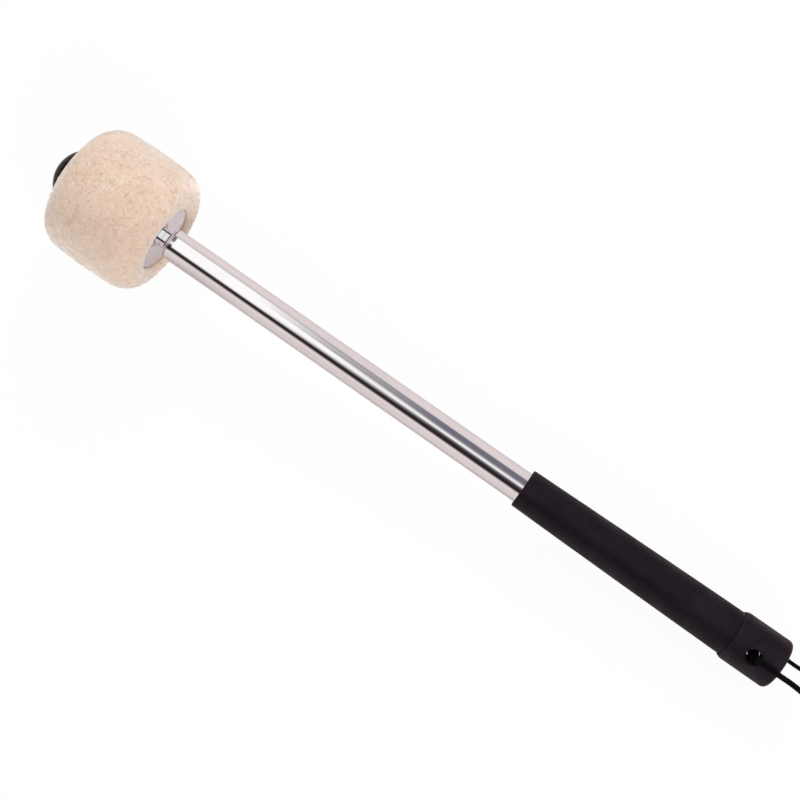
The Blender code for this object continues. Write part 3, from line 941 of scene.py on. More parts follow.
@dataclass
class Handle:
    """Chromed tube with its nose plug, rubber grip and end cap."""

    stack: Stack
    hole: CrossHole
    tube_radius: float = 0.0065
    tube_wall: float = 0.0010
    tube_base: float = 0.0019
    tube_edge: float = 0.00015
    tube_steps: int = 192
    flare_width: float = 0.00022
    flare_length: float = 0.0017
    flare_round: float = 0.0004
    plug_length: float = 0.020
    seam_edge: float = 0.00008
    chamfer_edge: float = 0.00012
    hole_edge: float = 0.00005
    plug_hole: float = 0.0133
    plug_hole_tip: float = 0.0163
    nose_chamfer: float = 0.0007
    rubber_steps: int = 160
    grip_top: float = 0.1192
    grip_top_radius: float = 0.00815
    grip_cap_radius: float = 0.009425
    grip_swell: float = 0.0001
    grip_edge: float = 0.0006
    grip_inner_edge: float = 0.00025
    grip_rings: int = 120
    grip_skin: float = 0.001
    grip_under_cap: float = 0.0004
    rubber_edge: float = 0.0002
    grip_waves: tuple[Layer, ...] = (
        (90.0, 0.00004, (0.0, 0.0, 0.0)), (420.0, 0.00001, (0.0, 0.0, 0.0)),
    )
    cap_radius: float = 0.0105
    cap_length: float = 0.0217
    cap_floor: float = 0.0016
    cap_round: float = 0.0021
    cap_end: float = -0.0001
    lip_inset: float = 0.0006
    lip_length: float = 0.0014
    lip_round: float = 0.0005
    cap_mouth_edge: float = 0.00035
    cap_round_steps: int = 14

    def tube(self, bench: Bench, chrome: Material) -> None:
        """Thin tube, drilled near its butt and flared a little where the plug is pressed in."""
        bore = self.tube_radius - self.tube_wall
        top = self.stack.tube_top - self.stack.gap
        shape = bench.spun([
            (self.tube_radius + self.flare_width, top, self.tube_edge),
            (self.tube_radius, top - self.flare_length, self.flare_round),
            (self.tube_radius, self.grip_top, 0.0),
            (self.tube_radius, self.cap_length, 0.0),
            (self.tube_radius, self.tube_base, self.tube_edge),
            (bore, self.tube_base, 0.0),
            (bore, self.cap_length, 0.0),
            (bore, top, self.tube_edge),
        ], self.tube_steps)
        shape = self.hole.countersunk(bench, shape, self.tube_radius)
        bench.finish(shape, "chromed_tube", chrome, Body.HANDLE, "handle_tube")

    def plug(self, bench: Bench, chrome: Material) -> None:
        """Plug in the tube's head end, with a chamfered nose and a blind hole for the stud."""
        stack = self.stack
        spigot = self.tube_radius - self.tube_wall - stack.gap
        base = stack.tube_top - self.plug_length
        shape = bench.spun([
            (self.tube_radius - self.nose_chamfer, stack.nose_top, self.tube_edge),
            (self.tube_radius, stack.nose_top - self.nose_chamfer, self.chamfer_edge),
            (self.tube_radius, stack.tube_top, self.seam_edge),
            (spigot, stack.tube_top, 0.0),
            (spigot, base + self.nose_chamfer, Bench.FINE),
            (spigot - self.nose_chamfer, base, Bench.FINE),
            (0.0, base, 0.0),
            (0.0, stack.nose_top - self.plug_hole_tip, 0.0),
            (stack.hole_radius, stack.nose_top - self.plug_hole, 0.0),
            (stack.hole_radius, stack.nose_top - stack.hole_lead, 0.0),
            (stack.hole_mouth, stack.nose_top, self.hole_edge),
        ], self.tube_steps)
        bench.finish(shape, "nose_plug", chrome, Body.HANDLE, "tube_plug")

    def grip_radius(self, height: float) -> float:
        """Outer radius of the sleeve at a height."""
        share = (self.grip_top - height) / (self.grip_top - self.cap_length)
        taper = (self.grip_cap_radius - self.grip_top_radius) * share
        return self.grip_top_radius + taper + self.grip_swell * 4 * share * (1.0 - share)

    def grip(self, bench: Bench, rubber: Material) -> None:
        """Rubber sleeve with a soft front edge and the slight unevenness of rubber."""
        inner = self.tube_radius + self.stack.gap
        heights = np.linspace(self.grip_top, self.cap_length - self.grip_under_cap, self.grip_rings)
        shape = bench.spun([
            (self.grip_radius(self.grip_top), self.grip_top, self.grip_edge),
            *((self.grip_radius(float(height)), float(height), 0.0) for height in heights[1:]),
            (self.grip_cap_radius, self.tube_base, self.rubber_edge),
            (inner, self.tube_base, 0.0),
            (inner, self.grip_top, self.grip_inner_edge),
        ], self.rubber_steps)
        for vert in shape.verts:
            if vert.co.z > self.cap_length and vert.co.xy.length > self.tube_radius + self.grip_skin:
                vert.co.xy *= 1.0 + unevenness(vert.co, self.grip_waves) / vert.co.xy.length
        shape = self.hole.mouth(bench, shape, self.rubber_edge)
        bench.finish(shape, "rubber_grip", rubber, Body.HANDLE, "grip_sleeve")

    def cap(self, bench: Bench, rubber: Material) -> None:
        """Closed rubber cap pushed over the sleeve."""
        inner = self.grip_cap_radius + self.stack.gap
        center = (self.cap_radius - self.cap_round, self.cap_end + self.cap_round)
        shape = bench.spun([
            (self.cap_radius - self.lip_inset, self.cap_length, self.rubber_edge),
            (self.cap_radius, self.cap_length - self.lip_length, self.lip_round),
            *arc(center, (self.cap_round,) * 2, 0.0, -90.0, self.cap_round_steps),
            (0.0, self.cap_end, 0.0),
            (0.0, self.cap_floor, 0.0),
            (inner, self.cap_floor, 0.0),
            (inner, self.cap_length, Bench.FINE),
        ], self.rubber_steps)
        shape = self.hole.mouth(bench, shape, self.cap_mouth_edge)
        bench.finish(shape, "rubber_cap", rubber, Body.HANDLE, "end_cap")

    def build(self, bench: Bench, looks: dict[str, Material]) -> None:
        """Make the handle's pieces."""
        self.tube(bench, looks["chrome"])
        self.plug(bench, looks["chrome"])
        self.grip(bench, looks["grip"])
        self.cap(bench, looks["cap"])


@dataclass
class Clamp:
    """Stud, washers and lock washer that hold the felt on the handle."""

    stack: Stack
    thread_radius: float = 0.0030
    thread_root: float = 0.00245
    thread_edge: float = 0.00003
    thread_steps: int = 40
    pitch: float = 0.0010
    flank_share: float = 0.44
    root_share: float = 0.04
    neck_radius: float = 0.0039
    neck_edges: tuple[float, float] = (0.00004, 0.0002)
    stud_depth: float = 0.0130
    stud_steps: int = 96
    seat: float = 0.00003
    washer_radius: float = 0.0140
    washer_edges: tuple[float, float] = (0.0003, 0.00035)
    washer_steps: int = 160
    lock_radius: float = 0.0053
    lock_edge: float = 0.00012
    lock_split: float = math.radians(9.0)
    lock_steps: int = 72

    def stud(self, bench: Bench, steel: Material) -> None:
        """Stud with a plain polished neck between its two threads."""
        stack = self.stack
        base = stack.nose_top - self.stud_depth
        shape = bench.spun([
            (0.0, stack.stud_top, 0.0),
            (self.thread_root, stack.stud_top, Bench.FINE),
            (self.thread_root, stack.rear_washer - self.seat, 0.0),
            (self.neck_radius, stack.rear_washer - self.seat, self.neck_edges[0]),
            (self.neck_radius, stack.neck_base, self.neck_edges[1]),
            (self.thread_root, stack.neck_base, 0.0),
            (self.thread_root, base, Bench.FINE),
            (0.0, base, 0.0),
        ], self.stud_steps, closed=False)
        bench.joined(shape, self.thread(bench, stack.rear_washer, stack.stud_top))
        bench.joined(shape, self.thread(bench, base, stack.neck_base))
        bench.finish(shape, "threaded_stud", steel, Body.HANDLE, "head_stud")

    def thread(self, bench: Bench, low: float, high: float) -> Shape:
        """Ridge of a thread, wound round the stud as a closed bar of its own."""
        turns = math.floor((high - low) / self.pitch) - 1
        inside = self.thread_root - Bench.FINE
        start = low + self.pitch * 0.5
        flank = self.pitch * self.flank_share
        root = self.pitch * self.root_share
        shape = bmesh.new()
        bench.profile(shape, [
            (inside, start, 0.0),
            (self.thread_root, start + root, 0.0),
            (self.thread_radius, start + flank, self.thread_edge),
            (self.thread_radius, start + self.pitch - flank, self.thread_edge),
            (self.thread_root, start + self.pitch - root, 0.0),
            (inside, start + self.pitch, 0.0),
        ])
        return bench.turned(shape, self.thread_steps, turns, self.pitch)

    def washer(self, bench: Bench, name: str, node: str, base: float, zinc: Material) -> None:
        """Flat punched washer, rounded more at its rim than at its hole."""
        top = base + self.stack.washer_thickness
        bore = self.thread_radius + self.stack.gap
        shape = bench.spun([
            (self.washer_radius, top, self.washer_edges[0]),
            (self.washer_radius, base, self.washer_edges[1]),
            (bore, base, Bench.FINE),
            (bore, top, Bench.FINE),
        ], self.washer_steps)
        bench.finish(shape, name, zinc, Body.HANDLE, node)

    def lock_washer(self, bench: Bench, steel: Material) -> None:
        """Split spring washer with square ends."""
        base = self.stack.lock_washer
        top = base + self.stack.lock_washer_thickness
        bore = self.thread_radius + self.stack.gap
        shape = bmesh.new()
        corners = [(self.lock_radius, top), (self.lock_radius, base), (bore, base), (bore, top)]
        face = shape.faces.new([shape.verts.new((radius, 0.0, height)) for radius, height in corners])
        bmesh.ops.spin(
            shape, geom=[face], cent=(0.0, 0.0, 0.0), axis=(0.0, 0.0, 1.0), dvec=(0.0, 0.0, 0.0),
            angle=FULL_TURN - self.lock_split, steps=self.lock_steps, use_merge=False,
            use_normal_flip=False, use_duplicate=False,
        )
        bmesh.ops.recalc_face_normals(shape, faces=shape.faces)
        sharp = [edge for edge in shape.edges if edge.calc_face_angle(0.0) > Bench.SHARP]
        ease(shape, sharp, self.lock_edge, 2)
        bench.finish(shape, "spring_washer", steel, Body.HANDLE, "lock_washer")

    def build(self, bench: Bench, looks: dict[str, Material]) -> None:
        """Make the clamp's pieces."""
        self.stud(bench, looks["steel"])
        self.washer(bench, "rear_clamp_washer", "rear_washer", self.stack.rear_washer, looks["zinc"])
        self.washer(bench, "front_clamp_washer", "front_washer", self.stack.front_washer, looks["zinc"])
        self.lock_washer(bench, looks["steel"])


@dataclass(frozen=True)
class Nap:
    """One kind of loose hair on the felt.

    Attributes:
        name: Name of the piece.
        look: Which finish its hairs have.
        count: How many hairs are tried; those that would reach the ground are left out.
        seed: Seed of the scatter.
        thickness: Thickness of a hair.
        length: Usual length of a hair.
        lift: How far a hair's middle stands off the felt.
    """

    name: str
    look: str
    count: int
    seed: int
    thickness: float
    length: float
    lift: float


@dataclass
class FeltHead:
    """Crowned felt drum, dished at both ends, with a nap of loose hairs.

    Attributes:
        grid: Longest step along the outer profile, and so the fineness of the relief.
        around: Steps of the drum about the axis.
        sunk: How far the relief is set into the even form.
        hair_stations: Places along a hair, from 0 to 1, and hair_widths its thickness there.
        bald_lip: Width beside the washers that carries no hairs.
        longest_step: Steps of the profile longer than this span the dishes and carry none either.
    """

    stack: Stack
    radius: float = 0.02775
    crown: float = 0.0005
    crest_radius: float = 0.0175
    rear_crest_radius: float = 0.0187
    shoulder: float = 0.0102
    seat_radius: float = 0.0143
    grid: float = 0.00042
    around: int = 416
    sunk: float = 0.00004
    relief: tuple[Layer, ...] = (
        (70.0, 0.00014, (0.0, 0.0, 0.0)), (330.0, 0.00007, (3.1, 0.2, 5.0)),
        (1150.0, 0.00004, (9.0, 4.0, 1.0)),
    )
    naps: tuple[Nap, ...] = (
        Nap("felt_pale_hairs", "pale_hair", 5600, 11, 0.000045, 0.0022, 0.00022),
        Nap("felt_tan_hairs", "tan_hair", 3800, 23, 0.00004, 0.0018, 0.00006),
    )
    hair_stations: tuple[float, ...] = (0.0, 0.34, 0.67, 1.0)
    hair_widths: tuple[float, ...] = (0.5, 1.0, 0.9, 0.35)
    hair_jitter: float = 0.0005
    hair_bend: float = 1.1
    hair_lengths: tuple[float, float] = (0.5, 1.4)
    hair_lifts: tuple[float, float] = (0.2, 1.6)
    bald_lip: float = 0.0004
    longest_step: float = 0.012
    shoulder_steps: int = 26
    crown_steps: int = 19
    crown_reach: float = 0.9
    lip_steps: tuple[int, int] = (14, 12)

    def outline(self) -> list[Corner]:
        """Profile of the felt, from its top crest round to the top again."""
        stack = self.stack
        edge = self.radius - self.crown
        front, rear = self.crest_radius, self.rear_crest_radius
        front_round, rear_round = (edge - front, self.shoulder), (edge - rear, self.shoulder)
        steps = self.shoulder_steps
        top = arc((front, stack.felt_top - self.shoulder), front_round, 90.0, 0.0, steps)
        bottom = arc((rear, stack.felt_base + self.shoulder), rear_round, 0.0, -90.0, steps)
        middle = (top[-1][1] + bottom[0][1]) / 2
        half = top[-1][1] - middle
        crowned = [
            (self.radius - self.crown * share ** 2, middle + half * share, 0.0)
            for share in np.linspace(self.crown_reach, -self.crown_reach, self.crown_steps)
        ]
        rear_lip = (rear - self.seat_radius, stack.rear_recess)
        front_lip = (front - self.seat_radius, stack.front_recess)
        base_lip = arc((rear, stack.felt_base + rear_lip[1]), rear_lip, -90.0, -180.0, self.lip_steps[0])
        top_lip = arc((front, stack.felt_top - front_lip[1]), front_lip, 180.0, 90.0, self.lip_steps[1])
        inside = [
            (self.seat_radius, stack.rear_seat, 0.0),
            (stack.hole_radius, stack.rear_seat, 0.0),
            (stack.hole_radius, stack.front_seat, 0.0),
            (self.seat_radius, stack.front_seat, 0.0),
        ]
        return top + crowned + bottom + base_lip[1:] + inside + top_lip[:-1]

    def drum(self, bench: Bench, wool: Material) -> None:
        """The felt itself, with the lumps and pits of pressed wool in its surface."""
        drawn = bmesh.new()
        bench.profile(drawn, self.outline())
        for edge in drawn.edges[:]:
            cuts = math.ceil(edge.calc_length() / self.grid) - 1
            if cuts > 0 and min(vert.co.x for vert in edge.verts) > self.seat_radius - NEAR:
                bmesh.ops.subdivide_edges(drawn, edges=[edge], cuts=cuts)
        shape = bench.turned(drawn, self.around)
        shape.normal_update()
        for vert in shape.verts:
            if vert.co.xy.length >= self.seat_radius + NEAR:
                vert.co += vert.normal * (unevenness(vert.co, self.relief) - self.sunk)
        bench.finish(shape, "felt_drum", wool, Body.HANDLE, "felt_head")

    def surface(self) -> tuple[np.ndarray, np.ndarray, np.ndarray]:
        """Points, outward normals and areas along the felt's outer profile."""
        inner = self.seat_radius + self.bald_lip
        points = np.array([corner[:2] for corner in self.outline() if corner[0] > inner])
        middle = (points[1:] + points[:-1]) / 2
        step = points[1:] - points[:-1]
        length = np.linalg.norm(step, axis=1)
        normal = np.stack([-step[:, 1], step[:, 0]], axis=1) / length[:, None]
        share = length * middle[:, 0] * (length < self.longest_step)
        return middle, normal, share / share.sum()

    def hairs(self, bench: Bench, nap: Nap, hair: Material) -> None:
        """Scatter the loose hairs of a nap over the felt, each one a thin bent thread."""
        rng = np.random.default_rng(nap.seed)
        middle, normal, share = self.surface()
        threads = Threads(nap.name, nap.thickness, 0)
        for pick in rng.choice(len(share), nap.count, p=share):
            angle = rng.uniform(0.0, FULL_TURN)
            jitter = rng.normal(0.0, self.hair_jitter, 2)
            lean = rng.uniform(0.0, FULL_TURN)
            bend = rng.normal(0.0, self.hair_bend)
            size = nap.length * rng.uniform(*self.hair_lengths)
            rise = nap.lift * rng.uniform(*self.hair_lifts)
            out = swung(normal[pick], angle)
            around = Vector((-math.sin(angle), math.cos(angle), 0.0))
            up = out.cross(around)
            base = swung(middle[pick], angle) + (around * jitter[0] + up * jitter[1])
            spots = []
            for along in self.hair_stations:
                way = lean + bend * along
                run = (around * math.cos(way) + up * math.sin(way)) * size * (along - 0.5)
                bow = 4 * along * (1.0 - along)
                sink = run.dot(around) ** 2 / (2 * middle[pick][0])
                spots.append(bench.axis.matrix @ (base + run + out * (rise * bow - nap.thickness - sink)))
            if min(spot.z for spot in spots) >= self.stack.gap:
                threads.add(spots, self.hair_widths)
        bench.dress(put(nap.name, threads.mesh()), hair, Body.HANDLE)

    def build(self, bench: Bench, looks: dict[str, Material]) -> None:
        """Make the felt and its nap."""
        self.drum(bench, looks["wool"])
        for nap in self.naps:
            self.hairs(bench, nap, looks[nap.look])


@dataclass
class Knob:
    """Domed knob with a fluted rim, a hollow underside and a pressed-in brass insert."""

    stack: Stack
    radius: float = 0.0110
    rim_height: float = 0.0062
    rim_rings: int = 16
    rim_gap: float = 0.0002
    crown_steps: int = 40
    skirt_wall: float = 0.0020
    skirt_edge: float = 0.0003
    inner_edge: float = 0.0002
    hollow_round: float = 0.0006
    boss_radius: float = 0.0063
    hollow_depth: float = 0.0058
    flutes: int = 24
    flute_radius: float = 0.00085
    flute_depth: float = 0.0005
    flute_start: float = 0.0009
    flute_steps: int = 16
    ring_gap: float = 0.0001
    insert_radius: float = 0.0045
    insert_chamfer: float = 0.0003
    insert_steps: int = 180
    groove_width: float = 0.0012
    groove_depth: float = 0.0005
    band_rings: int = 12
    knurls: int = 22
    knurl_depth: float = 0.00012

    def dome(self, bench: Bench, plastic: Material) -> None:
        """Dome, rim and hollow, with flutes pressed into the rim."""
        stack = self.stack
        rise = stack.knob_height - self.rim_height
        bend = (self.radius ** 2 + rise ** 2) / (2 * rise)
        reach = math.degrees(math.asin(self.radius / bend))
        crown = arc((0.0, stack.knob_top - bend), (bend, bend), 90.0, 90.0 - reach, self.crown_steps)
        start = stack.knob_base + self.flute_start
        rim = np.linspace(crown[-1][1] - self.rim_gap, start + self.ring_gap, self.rim_rings)
        pocket = self.insert_radius + stack.gap
        hollow = stack.knob_base + self.hollow_depth
        skirt = self.radius - self.skirt_wall
        shape = bench.spun([
            *crown,
            *((self.radius, float(height), 0.0) for height in rim),
            (self.radius, start, 0.0),
            (self.radius, start - self.ring_gap, 0.0),
            (self.radius, stack.knob_base, self.skirt_edge),
            (skirt, stack.knob_base, self.inner_edge),
            (skirt, hollow, self.hollow_round),
            (self.boss_radius, hollow, self.hollow_round),
            (self.boss_radius, stack.insert_base, self.inner_edge),
            (pocket, stack.insert_base, Bench.FINE),
            (pocket, stack.insert_top + stack.gap, 0.0),
            (0.0, stack.insert_top + stack.gap, 0.0),
        ], self.flutes * self.flute_steps)
        center = self.radius + self.flute_radius - self.flute_depth
        spacing = FULL_TURN / self.flutes
        for vert in shape.verts:
            outside = vert.co.xy.length
            if vert.co.z < start - Bench.WELD or outside < self.radius * 0.8:
                continue
            angle = math.atan2(vert.co.y, vert.co.x)
            beside = center * math.sin(angle - spacing * round(angle / spacing))
            if abs(beside) < self.flute_radius:
                ahead = math.sqrt(center ** 2 - beside ** 2)
                limit = ahead - math.sqrt(self.flute_radius ** 2 - beside ** 2)
                if limit < outside:
                    vert.co.xy *= limit / outside
        bmesh.ops.recalc_face_normals(shape, faces=shape.faces)
        bench.finish(shape, "fluted_knob", plastic, Body.KNOB, "dome_knob")

    def band(self, low: float, high: float) -> list[Corner]:
        """Corners of one knurled band of the insert, from the top down."""
        heights = np.linspace(high - self.insert_chamfer, low + self.ring_gap, self.band_rings)
        return [(self.insert_radius, float(height), 0.0) for height in heights]

    def insert(self, bench: Bench, brass: Material) -> None:
        """Brass insert with two knurled bands and a groove between them."""
        stack = self.stack
        middle = (stack.insert_base + stack.insert_top) / 2
        half = self.groove_width / 2
        waist = self.insert_radius - self.groove_depth
        chamfered = self.insert_radius - self.insert_chamfer
        shape = bench.spun([
            (chamfered, stack.insert_top, 0.0),
            *self.band(middle + half, stack.insert_top),
            (waist, middle + half, Bench.FINE),
            (waist, middle - half, Bench.FINE),
            *self.band(stack.insert_base, middle - half),
            (chamfered, stack.insert_base, 0.0),
            (stack.hole_mouth, stack.insert_base, 0.0),
            (stack.hole_radius, stack.insert_base + stack.hole_lead, 0.0),
            (stack.hole_radius, stack.insert_top, 0.0),
        ], self.insert_steps)
        for vert in shape.verts:
            if vert.co.xy.length > self.insert_radius - NEAR:
                angle = math.atan2(vert.co.y, vert.co.x)
                lift = vert.co.z / self.insert_radius
                ridge = min(abs(math.sin((angle + way * lift) * self.knurls)) for way in (1, -1))
                vert.co.xy *= 1.0 - self.knurl_depth / self.insert_radius * (1.0 - ridge)
        bench.finish(shape, "brass_insert", brass, Body.INSERT, "knob_insert")

    def build(self, bench: Bench, looks: dict[str, Material]) -> None:
        """Make the knob and its insert."""
        self.dome(bench, looks["plastic"])
        self.insert(bench, looks["brass"])


@dataclass
class LaceBraid:
    """Flat black lace, braided from yarns that pass over and under one another.

    The braid is made straight first, along X, and is then laid along a route. Each vertex
    keeps its place in the straight braid as an attribute, which the finish reads.
    """

    width: float = 0.0026
    thickness: float = 0.00135
    yarn: float = 0.00056
    carriers: int = 6
    pitch: float = 0.0060
    wave: float = 0.00011
    crossing_steps: int = 5
    section_steps: int = 181
    core_every: int = 4
    core_yarns: tuple[tuple[float, float], ...] = ((0.0, 1.1), (-0.22, 0.9), (0.22, 0.9))

    def ring(self, shares: np.ndarray, outward: np.ndarray) -> tuple[np.ndarray, np.ndarray]:
        """Places at shares of the way round the lace's section, pushed outwards."""
        angles = np.linspace(0.0, FULL_TURN, self.section_steps)
        half_width = (self.width - self.yarn) / 2 - self.wave
        half_thick = (self.thickness - self.yarn) / 2 - self.wave
        along = travelled(np.stack([half_width * np.cos(angles), half_thick * np.sin(angles)], axis=1))
        turn = np.interp(np.mod(shares, 1.0) * along[-1], along, angles)
        normal = np.stack([np.cos(turn) / half_width, np.sin(turn) / half_thick])
        normal /= np.linalg.norm(normal, axis=0)
        across = half_width * np.cos(turn) + normal[0] * outward
        upright = half_thick * np.sin(turn) + normal[1] * outward
        return across, upright

    def straight(self, name: str, length: float) -> bpy.types.Mesh:
        """The braid before it is laid: two sets of yarns and a thin core."""
        threads = Threads(name, self.yarn, 1)
        count = max(8, round(length / self.pitch * self.carriers * self.crossing_steps))
        run = np.linspace(0.0, length, count)
        turn = run / self.pitch
        for way in (1.0, -1.0):
            for number in range(self.carriers):
                over = way * np.cos(FULL_TURN * self.carriers * turn) * self.wave
                across, upright = self.ring(way * turn + number / self.carriers, over)
                threads.add(np.stack([run, across, upright], axis=1), [1.0] * count)
        core = run[::self.core_every]
        for side, radius in self.core_yarns:
            spots = np.stack([core, core * 0.0 + side * self.width, core * 0.0], axis=1)
            threads.add(spots, [radius] * len(core))
        return threads.mesh()

    def lay(self, name: str, line: np.ndarray, lies: np.ndarray, squeeze: np.ndarray) -> Object:
        """Lay the braid along a line.

        Args:
            name: Name of the piece.
            line: Points of the lace's centreline, close together.
            lies: Direction of the lace's width at each point.
            squeeze: How much of its width the lace keeps at each point.

        Returns:
            The laid braid, with no material yet.
        """
        known = travelled(line)
        mesh = self.straight(name, float(known[-1]))
        flat = np.zeros(len(mesh.vertices) * 3)
        mesh.vertices.foreach_get("co", flat)
        flat = flat.reshape(-1, 3)
        heading = unit(np.gradient(line, known, axis=0))
        across = unit(lies - heading * (lies * heading).sum(1)[:, None])
        at = np.clip(flat[:, 0], 0.0, known[-1])
        kept = np.interp(at, known, squeeze)[:, None]
        laid = read_at(at, known, line) + read_at(at, known, across) * flat[:, 1:2] * kept
        laid += read_at(at, known, np.cross(heading, across)) * flat[:, 2:3]
        laid += read_at(at, known, heading) * (flat[:, 0] - at)[:, None]
        mesh.vertices.foreach_set("co", laid.ravel())
        mesh.update()
        unrolled = mesh.attributes.new(UNROLLED, "FLOAT_VECTOR", "POINT")
        unrolled.data.foreach_set("vector", flat.ravel())
        return put(name, mesh)


@dataclass
class WristLace:
    """The lace through the cross hole, its loop on the ground and the knot that closes it.

    Attributes:
        route: Points of the loop, from the cap's upper mouth round to the lower one.
        turned: Spans of the route's points where the lace doesn't lie flat, with the
            direction of its width there.
        in_knot: Points of the route between which the knot squeezes the lace.
    """

    braid: LaceBraid = field(default_factory=LaceBraid)
    spacing: float = 0.0006
    curve_steps: int = 24
    crossing_half: float = 0.0085
    crossing_points: int = 40
    pinch: float = 0.18
    route: tuple[Place, ...] = (
        (0.1617, -0.0040, 0.0184), (0.1634, -0.0048, 0.0208), (0.1678, -0.0050, 0.0209),
        (0.1730, -0.0050, 0.0206), (0.1790, -0.0050, 0.0202), (0.1850, -0.0053, 0.0185),
        (0.1910, -0.0060, 0.0152), (0.1970, -0.0074, 0.0100), (0.2030, -0.0096, 0.0048),
        (0.2090, -0.0123, 0.0015), (0.2160, -0.0155, 0.0008), (0.2250, -0.0180, 0.0008),
        (0.2340, -0.0165, 0.0008), (0.2405, -0.0105, 0.0009), (0.2440, -0.0045, 0.0017),
        (0.2470, -0.0009, 0.0025), (0.2500, -0.0009, 0.0026), (0.2530, -0.0008, 0.0025),
        (0.2539, 0.0000, 0.0025), (0.2530, 0.0008, 0.0025), (0.2500, 0.0009, 0.0026),
        (0.2470, 0.0009, 0.0025), (0.2437, 0.0043, 0.0017), (0.2395, 0.0110, 0.0009),
        (0.2325, 0.0165, 0.0008), (0.2230, 0.0192, 0.0008), (0.2110, 0.0168, 0.0008),
        (0.2000, 0.0110, 0.0009), (0.1910, 0.0070, 0.0010), (0.1830, 0.0057, 0.0011),
        (0.1765, 0.0056, 0.0011), (0.1705, 0.0061, 0.0009), (0.1650, 0.0060, 0.0008),
        (0.1613, 0.0052, 0.0014), (0.1600, 0.0040, 0.0031),
    )
    turned: tuple[tuple[range, Place], ...] = (
        (range(0, 5), (0.0, 0.88, 0.48)), (range(15, 22), (0.0, 0.0, 1.0)),
        (range(29, 31), (0.0, -0.36, -0.93)), (range(31, 32), (0.0, -0.8, -0.6)),
        (range(32, 35), (0.0, -0.88, -0.48)),
    )
    in_knot: tuple[int, int] = (13, 23)
    knot_center: Place = (0.2496, 0.0, 0.0026)
    knot_width: float = 0.0067
    knot_thickness: float = 0.0049
    knot_turns: int = 2
    knot_pitch: float = 0.0022
    knot_steps: int = 10
    over_tail: tuple[Place, ...] = (
        (0.2600, 0.0070, 0.0008), (0.2565, 0.0046, 0.0016), (0.2535, 0.0022, 0.0050),
        (0.2505, 0.0010, 0.0063), (0.2485, 0.0006, 0.0061),
    )
    low_tail: tuple[Place, ...] = (
        (0.2530, -0.0012, 0.0040), (0.2552, -0.0026, 0.0030), (0.2580, -0.0045, 0.0016),
        (0.2612, -0.0062, 0.0008),
    )

    def curve(self, points: Sequence[Place]) -> tuple[np.ndarray, np.ndarray]:
        """Points at even steps along a Catmull-Rom curve, and their place along it.

        Args:
            points: The route's points.

        Returns:
            The points, and for each one the route's number that it belongs to.
        """
        spots = np.array(points)
        ends = np.vstack([spots[0] * 2 - spots[1], spots, spots[-1] * 2 - spots[-2]])
        dense, place = [], []
        for number, (a, b, c, d) in enumerate(zip(ends, ends[1:], ends[2:], ends[3:])):
            for s in np.linspace(0.0, 1.0, self.curve_steps, endpoint=False):
                bent = (a * 2 - b * 5 + c * 4 - d) * s ** 2 + (b * 3 - a - c * 3 + d) * s ** 3
                dense.append(0.5 * (b * 2 + (c - a) * s + bent))
                place.append(number + s)
        dense = np.array([*dense, spots[-1]])
        known = travelled(dense)
        wanted = np.linspace(0.0, known[-1], max(2, round(known[-1] / self.spacing) + 1))
        return read_at(wanted, known, dense), np.interp(wanted, known, [*place, len(spots) - 1.0])

    @staticmethod
    def directions(line: np.ndarray, place: np.ndarray, lies: Sequence[Vector | None]) -> np.ndarray:
        """Direction of the width at each point of a line, turning evenly between the route's points."""
        heading = np.gradient(line, axis=0)
        flat = unit(np.stack([-heading[:, 1], heading[:, 0], heading[:, 2] * 0.0], axis=1))
        result = np.zeros_like(line)
        for number, spot in enumerate(place):
            low = min(int(spot), len(lies) - 2)
            share = spot - low
            share = share * share * (3 - 2 * share)
            ends = [np.array(lie) if lie is not None else flat[number] for lie in lies[low:low + 2]]
            result[number] = ends[0] * (1 - share) + ends[1] * share
        return result

    def strand(self, name: str, points: Sequence[Place], lies: Sequence[Vector | None],
               squeezed: tuple[int, int]) -> tuple[Object, np.ndarray]:
        """Lay the lace along a route.

        Args:
            name: Name of the piece.
            points: The route's points.
            lies: Direction of the lace's width at each point, or none where it lies flat.
            squeezed: Numbers of the points between which the knot squeezes it.

        Returns:
            The laid lace, with no material yet, and its centreline.
        """
        line, place = self.curve(points)
        first, last = squeezed
        squeeze = 1.0 - self.pinch * np.clip(np.minimum(place - first, last - place), 0.0, 1.0)
        return self.braid.lay(name, line, self.directions(line, place, lies), squeeze), line

    def crossing(self, axis: Axis, hole: CrossHole) -> Object:
        """The stretch of lace inside the cross hole."""
        middle = axis.matrix @ Vector((0.0, 0.0, hole.height))
        across = axis.direction((math.cos(hole.turn), math.sin(hole.turn), 0.0))
        width = axis.direction((-math.sin(hole.turn), math.cos(hole.turn), 0.0))
        shares = np.linspace(-1.0, 1.0, self.crossing_points)
        line = np.array([tuple(middle + across * self.crossing_half * float(share)) for share in shares])
        lies = np.tile(np.array(width), (len(line), 1))
        return self.braid.lay("lace_in_hole", line, lies, np.ones(len(line)))

    def loop(self) -> tuple[Object, np.ndarray]:
        """The loop from one mouth of the cross hole to the other, and its centreline."""
        lies: list[Vector | None] = [None] * len(self.route)
        for span, direction in self.turned:
            for number in span:
                lies[number] = Vector(direction)
        return self.strand("braided_lace", self.route, lies, self.in_knot)

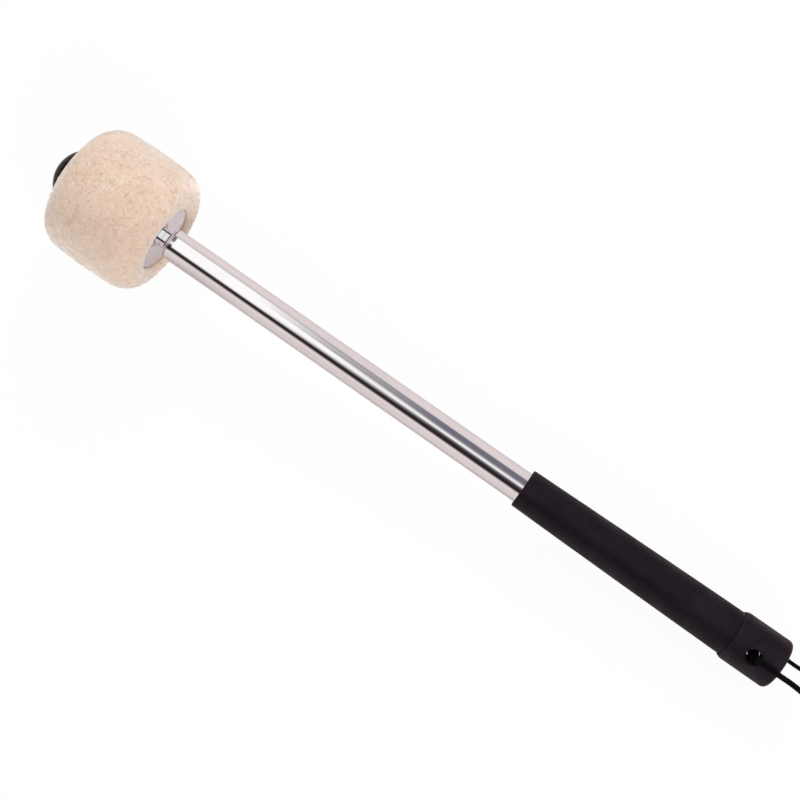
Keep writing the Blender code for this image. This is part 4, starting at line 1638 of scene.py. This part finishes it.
    def knot(self) -> Object:
        """Turns of lace round both strands of the loop, with two free tails."""
        across = (self.knot_width - self.braid.thickness) / 2
        upright = (self.knot_thickness - self.braid.thickness) / 2
        turns = []
        for number in range(self.knot_turns * self.knot_steps + 1):
            share = number / self.knot_steps
            angle = FULL_TURN * share
            along = self.knot_pitch * (share - self.knot_turns / 2)
            offset = Vector((along, -across * math.sin(angle), upright * math.cos(angle)))
            turns.append(tuple(Vector(self.knot_center) + offset))
        lies: list[Vector | None] = [None] * len(self.over_tail)
        lies += [Vector((1.0, 0.0, 0.0))] * len(turns) + [None] * len(self.low_tail)
        tight = len(self.over_tail) - 2
        points = [*self.over_tail, *turns, *self.low_tail]
        made, _ = self.strand("lace_knot_turns", points, lies, (tight, tight + len(turns) + 2))
        return made

    def build(self, bench: Bench, hole: CrossHole, cotton: Material) -> None:
        crossing = self.crossing(bench.axis, hole)
        knot = self.knot()
        loop, line = self.loop()
        for made, node in ((crossing, "lace_crossing"), (knot, "lace_knot"), (loop, "wrist_lace")):
            bench.dress(made, cotton, Body.HANDLE, node)


def finishes(axis: Axis) -> dict[str, Material]:
    """Build every finish of the beater."""
    kinds = {
        "chrome": PolishedChrome(),
        "steel": TurnedMetal(
            "turned_steel", (0.86, 0.84, 0.84), (0.78, 0.76, 0.76), 0.03, haze=0.06, ring_strength=0.03,
        ),
        "zinc": TurnedMetal(
            "bright_zinc", (0.85, 0.865, 0.89), (0.80, 0.82, 0.85), 0.05,
            haze=0.08, ring_scale=6000.0, ring_strength=0.04,
        ),
        "brass": TurnedMetal("turned_brass", (0.72, 0.53, 0.24), (0.56, 0.38, 0.16), 0.20),
        "wool": PressedWool(),
        "pale_hair": WoolHair("pale_wool_hair", (0.89, 0.80, 0.70), (0.78, 0.64, 0.51)),
        "tan_hair": WoolHair("tan_wool_hair", (0.50, 0.34, 0.23), (0.26, 0.17, 0.12)),
        "plastic": MouldedBlack(
            "black_plastic", (0.0035, 0.003, 0.0035), (0.006, 0.0055, 0.006), 0.22, 0.06, 2400.0, 0.06,
        ),
        "grip": MouldedBlack(
            "grip_rubber", (0.0010, 0.0003, 0.0013), (0.0050, 0.0024, 0.0056), 0.46, 0.25, 3200.0, 0.30,
            smear=0.18, shine=(1.0, 0.82, 1.0),
        ),
        "cap": MouldedBlack(
            "cap_rubber", (0.0012, 0.0003, 0.0015), (0.0066, 0.0036, 0.0076), 0.44, 0.25, 2800.0, 0.25,
            patch_scale=110.0, smear=0.18, shine=(1.0, 0.82, 1.0),
        ),
        "cotton": BraidedCotton(),
    }
    return {name: kind.material(axis) for name, kind in kinds.items()}


def corners(box: tuple[Vector, Vector]) -> list[list[float]]:
    """A box as plain lists of numbers."""
    return [list(corner) for corner in box]


def main() -> None:
    """Build the looks round the frame."""
    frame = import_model()
    axis = Axis(frame["record"])
    Studio().build(axis)
    bench = Bench(axis)
    looks = finishes(axis)
    stack = Stack()
    hole = CrossHole()
    WristLace().build(bench, hole, looks["cotton"])
    for assembly in (Handle(stack, hole), Clamp(stack), FeltHead(stack), Knob(stack)):
        assembly.build(bench, looks)


if __name__ == "__main__":
    logging.basicConfig(level=logging.INFO, format="%(message)s")
    main()
